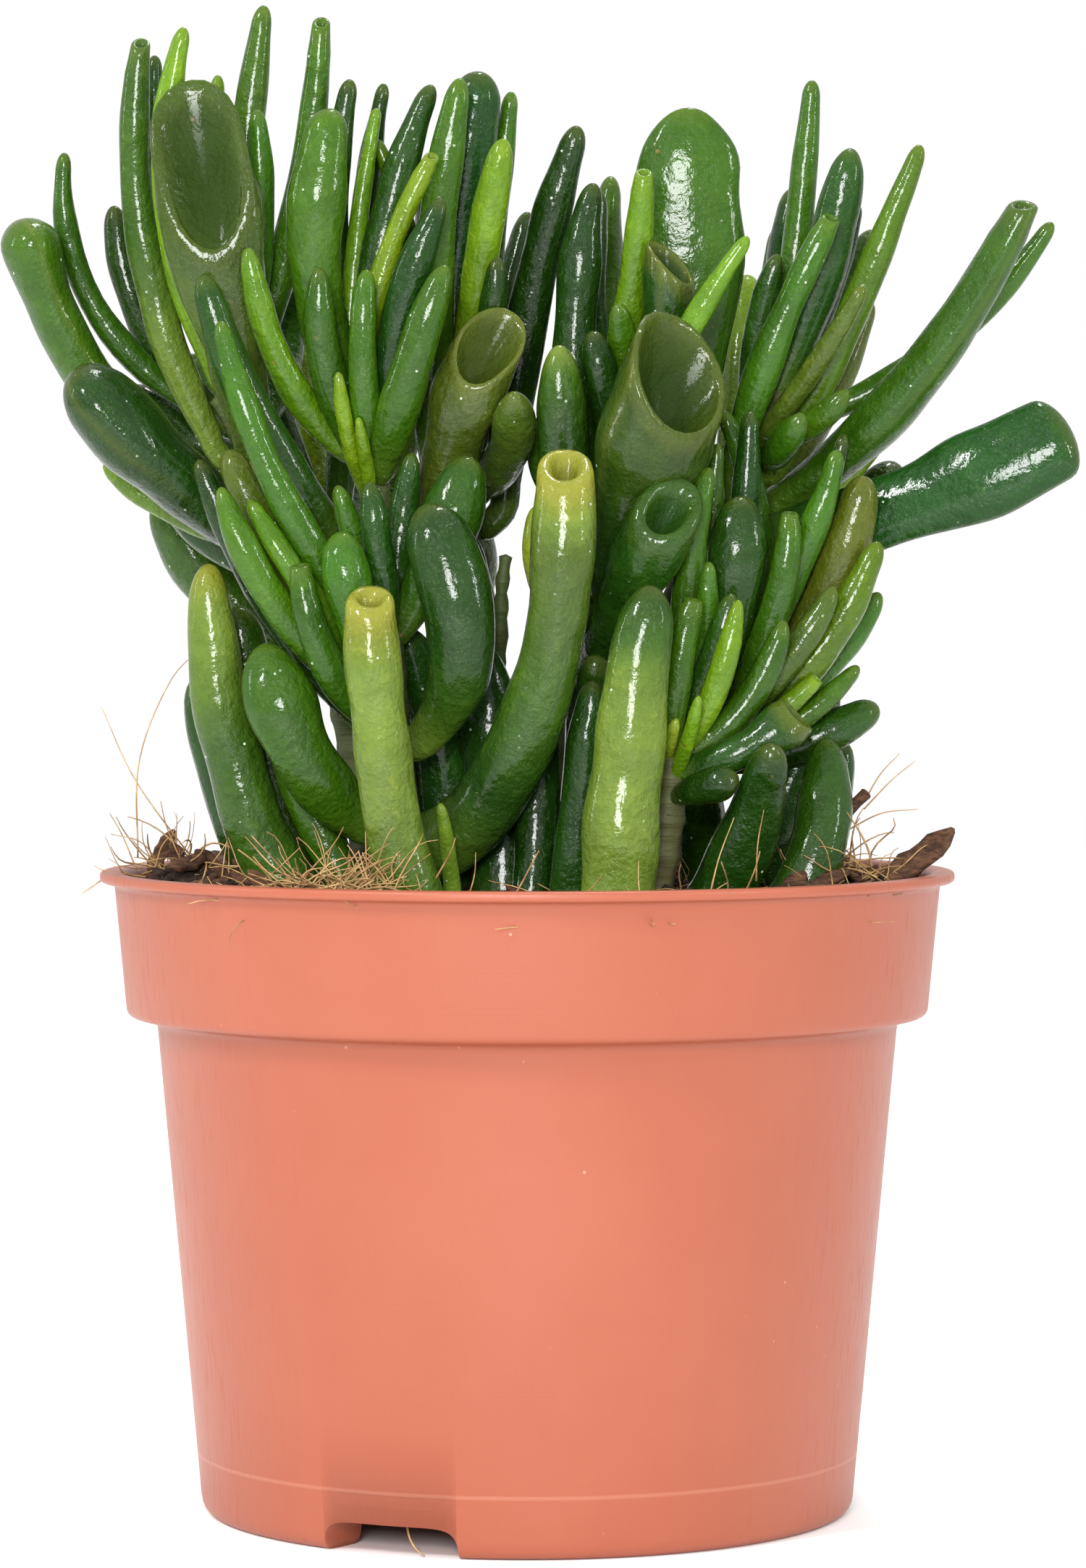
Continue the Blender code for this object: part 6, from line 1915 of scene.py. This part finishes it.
    @staticmethod
    def fibres(starts: Array, headings: Array, lengths: Array, radii: Array, seed: int, curl: float) -> Shell:
        """Thin bent fibres: each runs along its heading and sways by a slow sine to two sides.

        Args:
            starts: (count, 3) places.
            headings: (count, 3) directions.
            lengths: (count,) lengths.
            radii: (count,) radii.
            seed: which draw.
            curl: the sway, as a share of the length.

        Returns:
            One shell of them all.
        """
        draw = np.random.default_rng(seed)
        share = np.linspace(0.0, 1.0, 8)
        shells = []
        for start, heading, length, radius in zip(starts, unit(headings), lengths, radii):
            side = unit(np.cross(heading, draw.normal(size=3)))
            other = np.cross(heading, side)
            phase, pace = draw.uniform(0.0, 6.28, 2), draw.uniform(1.5, 4.5, 2)
            turn = np.sin(phase + np.outer(share, pace)) - np.sin(phase)
            sway = curl * length * turn * share[:, None] ** 0.5
            line = start + np.outer(share * length, heading) + sway[:, :1] * side + sway[:, 1:] * other
            shells.append(carried(line, radius * (1.0 - 0.55 * share**2), 4))
        return Shell.joined(shells)

    @staticmethod
    def chip(middle: Place, way: Place, up: Place, size: Place, seed: int) -> Shell:
        """A splinter of bark: a flat rounded slab with ragged ends, carried along its length.

        Args:
            middle: its middle.
            way: the way it points.
            up: roughly the way of its flat side.
            size: its length, width and thickness.
            seed: which draw.

        Returns:
            The shell.
        """
        draw = np.random.default_rng(seed)
        length, width, thick = size
        ahead = unit(np.array(way, float))
        side = unit(np.cross(ahead, np.array(up, float)))
        face = np.cross(side, ahead)
        steps = np.linspace(-0.5, 0.5, 9)
        angles = angles_round(12)
        shape = (1.0 - np.abs(2.0 * steps) ** 3.5) ** 0.6 * 0.5
        shape = np.maximum(shape, 0.12) * draw.uniform(0.8, 1.15, 9)
        square = np.sign(np.cos(angles)) * np.abs(np.cos(angles)) ** 0.6
        lift = np.sign(np.sin(angles)) * np.abs(np.sin(angles)) ** 0.6
        ragged = draw.uniform(0.9, 1.1, (9, 12))
        bend = 0.06 * length * (steps * 2.0) ** 2
        rings = (
            np.array(middle, float)
            + (steps * length)[:, None, None] * ahead
            + bend[:, None, None] * face
            + (shape[:, None] * width * square[None, :] * ragged)[..., None] * side
            + (shape[:, None] ** 0.5 * 0.6 * thick * lift[None, :] * ragged)[..., None] * face
        )
        point = 0.02 * length * ahead
        return tube(rings, rings[0].mean(axis=0) - point, rings[-1].mean(axis=0) + point)

    def build(self) -> None:
        """Makes the soil in place of its solid, and everything that lies on it."""
        peat = Grit("peat", (0.008, 0.0045, 0.003), (0.05, 0.028, 0.016), 900.0, 0.95, 0.0012)
        bark = Grit("bark", (0.03, 0.012, 0.006), (0.16, 0.075, 0.035), 500.0, 0.8, 0.0008, (1.0, 1.0, 3.0))
        coir = Grit("coir", (0.2, 0.1, 0.035), (0.6, 0.4, 0.18), 350.0, 0.7, 0.0002)
        perlite = Grit("perlite", (0.42, 0.38, 0.32), (0.75, 0.72, 0.66), 900.0, 0.9, 0.0006)
        bed = make_piece("soil_bed", self.bed(), peat.material())
        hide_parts("soil")
        draw = np.random.default_rng(11)
        places = self.scattered(3600, 21)
        sizes = 0.35 + 1.15 * draw.uniform(0.0, 1.0, len(places)) ** 3
        make_piece("soil_crumbs", self.lumps(places, sizes, 22, 0.3), bed.data.materials[0])
        self.build_bark(bark.material())
        self.build_coir(coir.material())
        places = self.scattered(46, 51, 20.0)
        sizes = draw.uniform(0.4, 1.0, len(places))
        grains = self.lumps(places, sizes, 52, 0.22, 0.85)
        make_piece("perlite_grains", grains, perlite.material())

    def build_bark(self, bark: bpy.types.Material) -> None:
        """Scattered splinters, a few large chips at the edge, and a twig."""
        draw = np.random.default_rng(31)
        chips = []
        for index, place in enumerate(self.scattered(170, 32, 12.0)):
            way = draw.normal(size=3) * [1.0, 1.0, 0.35]
            size = (draw.uniform(2.0, 6.0), draw.uniform(0.8, 2.2), draw.uniform(0.4, 0.9))
            middle = tuple(raised(place, 0.3))
            chips.append(self.chip(middle, tuple(way), (0.1, 0.1, 1.0), size, 100 + index))
        for index in range(44):
            across = (-1.0 if index % 2 else 1.0) * draw.uniform(30.0, 48.0)
            back = draw.uniform(-1.0, 0.7) * math.sqrt(49.0**2 - across**2)
            height = float(self.surface(np.array(across), np.array(back)))
            way = tuple(draw.normal(size=3) * [1.0, 1.0, 0.55])
            size = (draw.uniform(4.0, 9.0), draw.uniform(1.6, 3.2), draw.uniform(0.8, 1.6))
            chips.append(self.chip((across, back, height + 0.8), way, (0.2, -0.4, 1.0), size, 300 + index))
        for number, (place, way, up, size) in enumerate(self.LARGE_CHIPS, 1):
            chips.append(self.chip(tuple(raised(place, self.level)), way, up, size, number))
        make_piece("bark_chips", Shell.joined(chips), bark)
        line = spline(
            np.array([(37, -16, 2), (39.5, -15, 7), (43, -14, 10.6), (47, -12, 14.2)]),
            np.linspace(0.0, 1.0, 20),
        )
        knots = 1.1 + 0.3 * waves(line, 2.5, 8)
        twig = carried(raised(line, self.level), knots * np.linspace(1.0, 0.6, 20), 10)
        make_piece("twig", twig, bark)

    def build_coir(self, coir: bpy.types.Material) -> None:
        """Coir fibres: many short ones on the soil, two tufts, and the long hairs that stand up."""
        draw = np.random.default_rng(41)
        starts = self.scattered(460, 42, 8.0)
        flat = draw.normal(size=(len(starts), 3)) * [1.0, 1.0, 0.28] + [0.0, 0.0, 0.12]
        lengths = draw.uniform(3.0, 11.0, len(starts))
        radii = draw.uniform(0.07, 0.16, len(starts))
        shells = [self.fibres(starts, flat, lengths, radii, 43, 0.12)]
        for x, y, spread, count in ((-26.0, -34.0, 4.6, 190), (-50.0, -6.0, 5.0, 46), (46.0, -16.0, 6.0, 50)):
            middle = np.array([x, y, 0.0]) + draw.normal(size=(count, 3)) * [spread, 0.5 * spread, 0.0]
            middle[:, 2] = self.surface(middle[:, 0], middle[:, 1]) + draw.uniform(-0.5, 2.0, count)
            inside = np.hypot(middle[:, 0], middle[:, 1]) < self.radius - 1.0
            middle = middle[inside]
            count = len(middle)
            way = draw.normal(size=(count, 3)) * [1.0, 0.7, 0.45] + [0.0, 0.0, 0.25]
            thick = draw.uniform(0.07, 0.17, count)
            shells.append(self.fibres(middle, way, draw.uniform(4.0, 12.0, count), thick, 44, 0.16))
        hairs = (
            ((-44, -4, 1), (-54.4, -4, 15), (-59.6, -4, 26)),
            ((-54.4, -6, 5), (-54.2, -6, 18.4), (-49.9, -5, 29.6), (-45, -4, 34.7)),
            ((-55, 0, 3), (-57, -1, 8), (-58.6, -2, 11)),
            ((-50, -8, 2), (-53.5, -8, 7), (-58, -8, 8.4)),
            ((-47, -8, 2), (-50, -9, 9), (-51, -9, 13)),
            ((-42.5, -10, 2), (-41.8, -10, 7), (-40.8, -10, 11)),
            ((46.7, -12, 13), (49, -11, 16.8), (51.7, -10, 19.6)),
            ((46.7, -12, 12), (50.5, -12, 16), (53.7, -12, 18.6)),
            ((44, -14, 9), (49, -14, 11.5), (54, -13, 12)),
            ((24.6, -34, 1), (26, -33, 6.4), (28, -32, 11.6)),
            ((31, -32, 3), (31.2, -32, 8), (32, -32, 12.6)),
            ((15.4, -40, 0), (15, -39, 3), (15, -38, 6)),
            ((-8.2, -40, 0), (-7, -40, 4), (-6.8, -39, 7.2)),
            ((-14, -41, 0), (-14.2, -40, 2.4), (-14.8, -39, 4.4)),
        )
        for hair in hairs:
            line = raised(spline(np.array(hair, float), np.linspace(0.0, 1.0, 24)), self.level)
            shells.append(carried(line, np.linspace(0.13, 0.05, 24), 5))
        make_piece("coir_fibres", Shell.joined(shells), coir)
        corners = np.array([(-16, -41.6, 4), (-15.6, -42.4, 2.6), (-14.8, -42.6, 1.2), (-13.6, -43, 0.3)])
        thread = spline(corners, np.linspace(0.0, 1.0, 16))
        make_piece("root_thread", carried(thread, np.linspace(0.16, 0.08, 16), 6), coir)


# The studio.


class Studio:
    """A pale floor, soft light from large panels and pale surroundings, and the camera."""

    CAMERA = (0.0022, -0.78, 0.1277)
    TILT = 1.88  # degrees below the horizon
    LENS = 127.3
    # Each panel's name, place, the height on the axis that it faces, width and height, and watts.
    PANELS = (
        ("key", (-0.6, -0.7, 0.85), 0.13, (0.08, 0.28), 7.5),
        ("right", (0.75, -0.5, 0.45), 0.13, (0.03, 0.36), 2.6),
        ("left", (-0.85, -0.1, 0.4), 0.13, (0.022, 0.36), 1.3),
        ("front", (-0.1, -1.3, 0.4), 0.06, (0.3, 0.3), 14.0),
        ("top", (0.1, 0.25, 0.95), 0.15, (0.08, 0.26), 3.2),
    )

    def build(self) -> None:
        """Makes the floor, the lights and the camera."""
        self.floor()
        self.surroundings()
        for name, place, aimed_at, size, power in self.PANELS:
            self.panel(f"{name}_panel", place, (0.0, 0.0, aimed_at), size, power)
        self.camera()

    @staticmethod
    def floor() -> None:
        """A wide pale disc, level with the pot's foot."""
        angles = angles_round(96)
        rim = 2600.0 * np.stack([np.cos(angles), np.sin(angles), 0.0 * angles], axis=-1)
        mesh = bpy.data.meshes.new("floor")
        mesh.from_pydata((rim * MM).tolist(), [], [tuple(range(96))])
        finish = Finish("floor_paper", Roughness=0.75, Base_Color=(0.97, 0.97, 0.97, 1.0))
        mesh.materials.append(finish.material)
        added("floor", mesh)

    @staticmethod
    def surroundings() -> None:
        """Pale light from all round."""
        world = bpy.data.worlds.new("studio_light")
        world.use_nodes = True
        background = world.node_tree.nodes["Background"]
        background.inputs["Color"].default_value = (1.0, 1.0, 1.0, 1.0)
        background.inputs["Strength"].default_value = 1.0
        bpy.context.scene.world = world
        bpy.context.scene.view_settings.view_transform = "Standard"

    @staticmethod
    def aim(item: bpy.types.Object, place: Place, target: Place) -> None:
        """Puts an object at a place, looking at a target.

        Args:
            item: the light or camera.
            place: where it goes, in metres.
            target: what it looks at, in metres.
        """
        here = np.array(place)
        away = unit(here - np.array(target))
        item.location = place
        level = math.hypot(away[0], away[1])
        item.rotation_euler = (math.atan2(level, away[2]), 0.0, math.atan2(away[0], -away[1]))

    def panel(self, name: str, place: Place, target: Place, size: tuple[float, float], power: float) -> None:
        """Adds a soft light panel.

        Args:
            name: its name.
            place: where it stands.
            target: what it faces.
            size: its width and height, in metres.
            power: in watts.
        """
        light = bpy.data.lights.new(name, "AREA")
        light.shape = "RECTANGLE"
        light.size, light.size_y = size
        light.energy = power
        self.aim(added(name, light), place, target)

    def camera(self) -> None:
        """Adds the camera: level with the leaves' feet, looking slightly down."""
        data = bpy.data.cameras.new("camera")
        data.lens = self.LENS
        data.sensor_width = 36.0
        data.sensor_fit = "AUTO"
        item = added("camera", data)
        item.location = self.CAMERA
        item.rotation_euler = (math.radians(90.0 - self.TILT), 0.0, 0.0)
        bpy.context.scene.camera = item


def main() -> None:
    """Builds the look of the potted plant round its solids."""
    logging.basicConfig(level=logging.INFO, format="%(message)s")
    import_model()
    pot, soil = (np.array(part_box(node)[1]) / MM for node in ("pot", "soil"))
    Pot(height=float(pot[2]), lip_radius=float(pot[0])).build()
    Soil(level=SOIL_LEVEL, radius=float(soil[0]) - SOIL_CLEARANCE).build()
    Foliage(Planting(), SOIL_LEVEL).build()
    Studio().build()


if __name__ == "__main__":
    main()
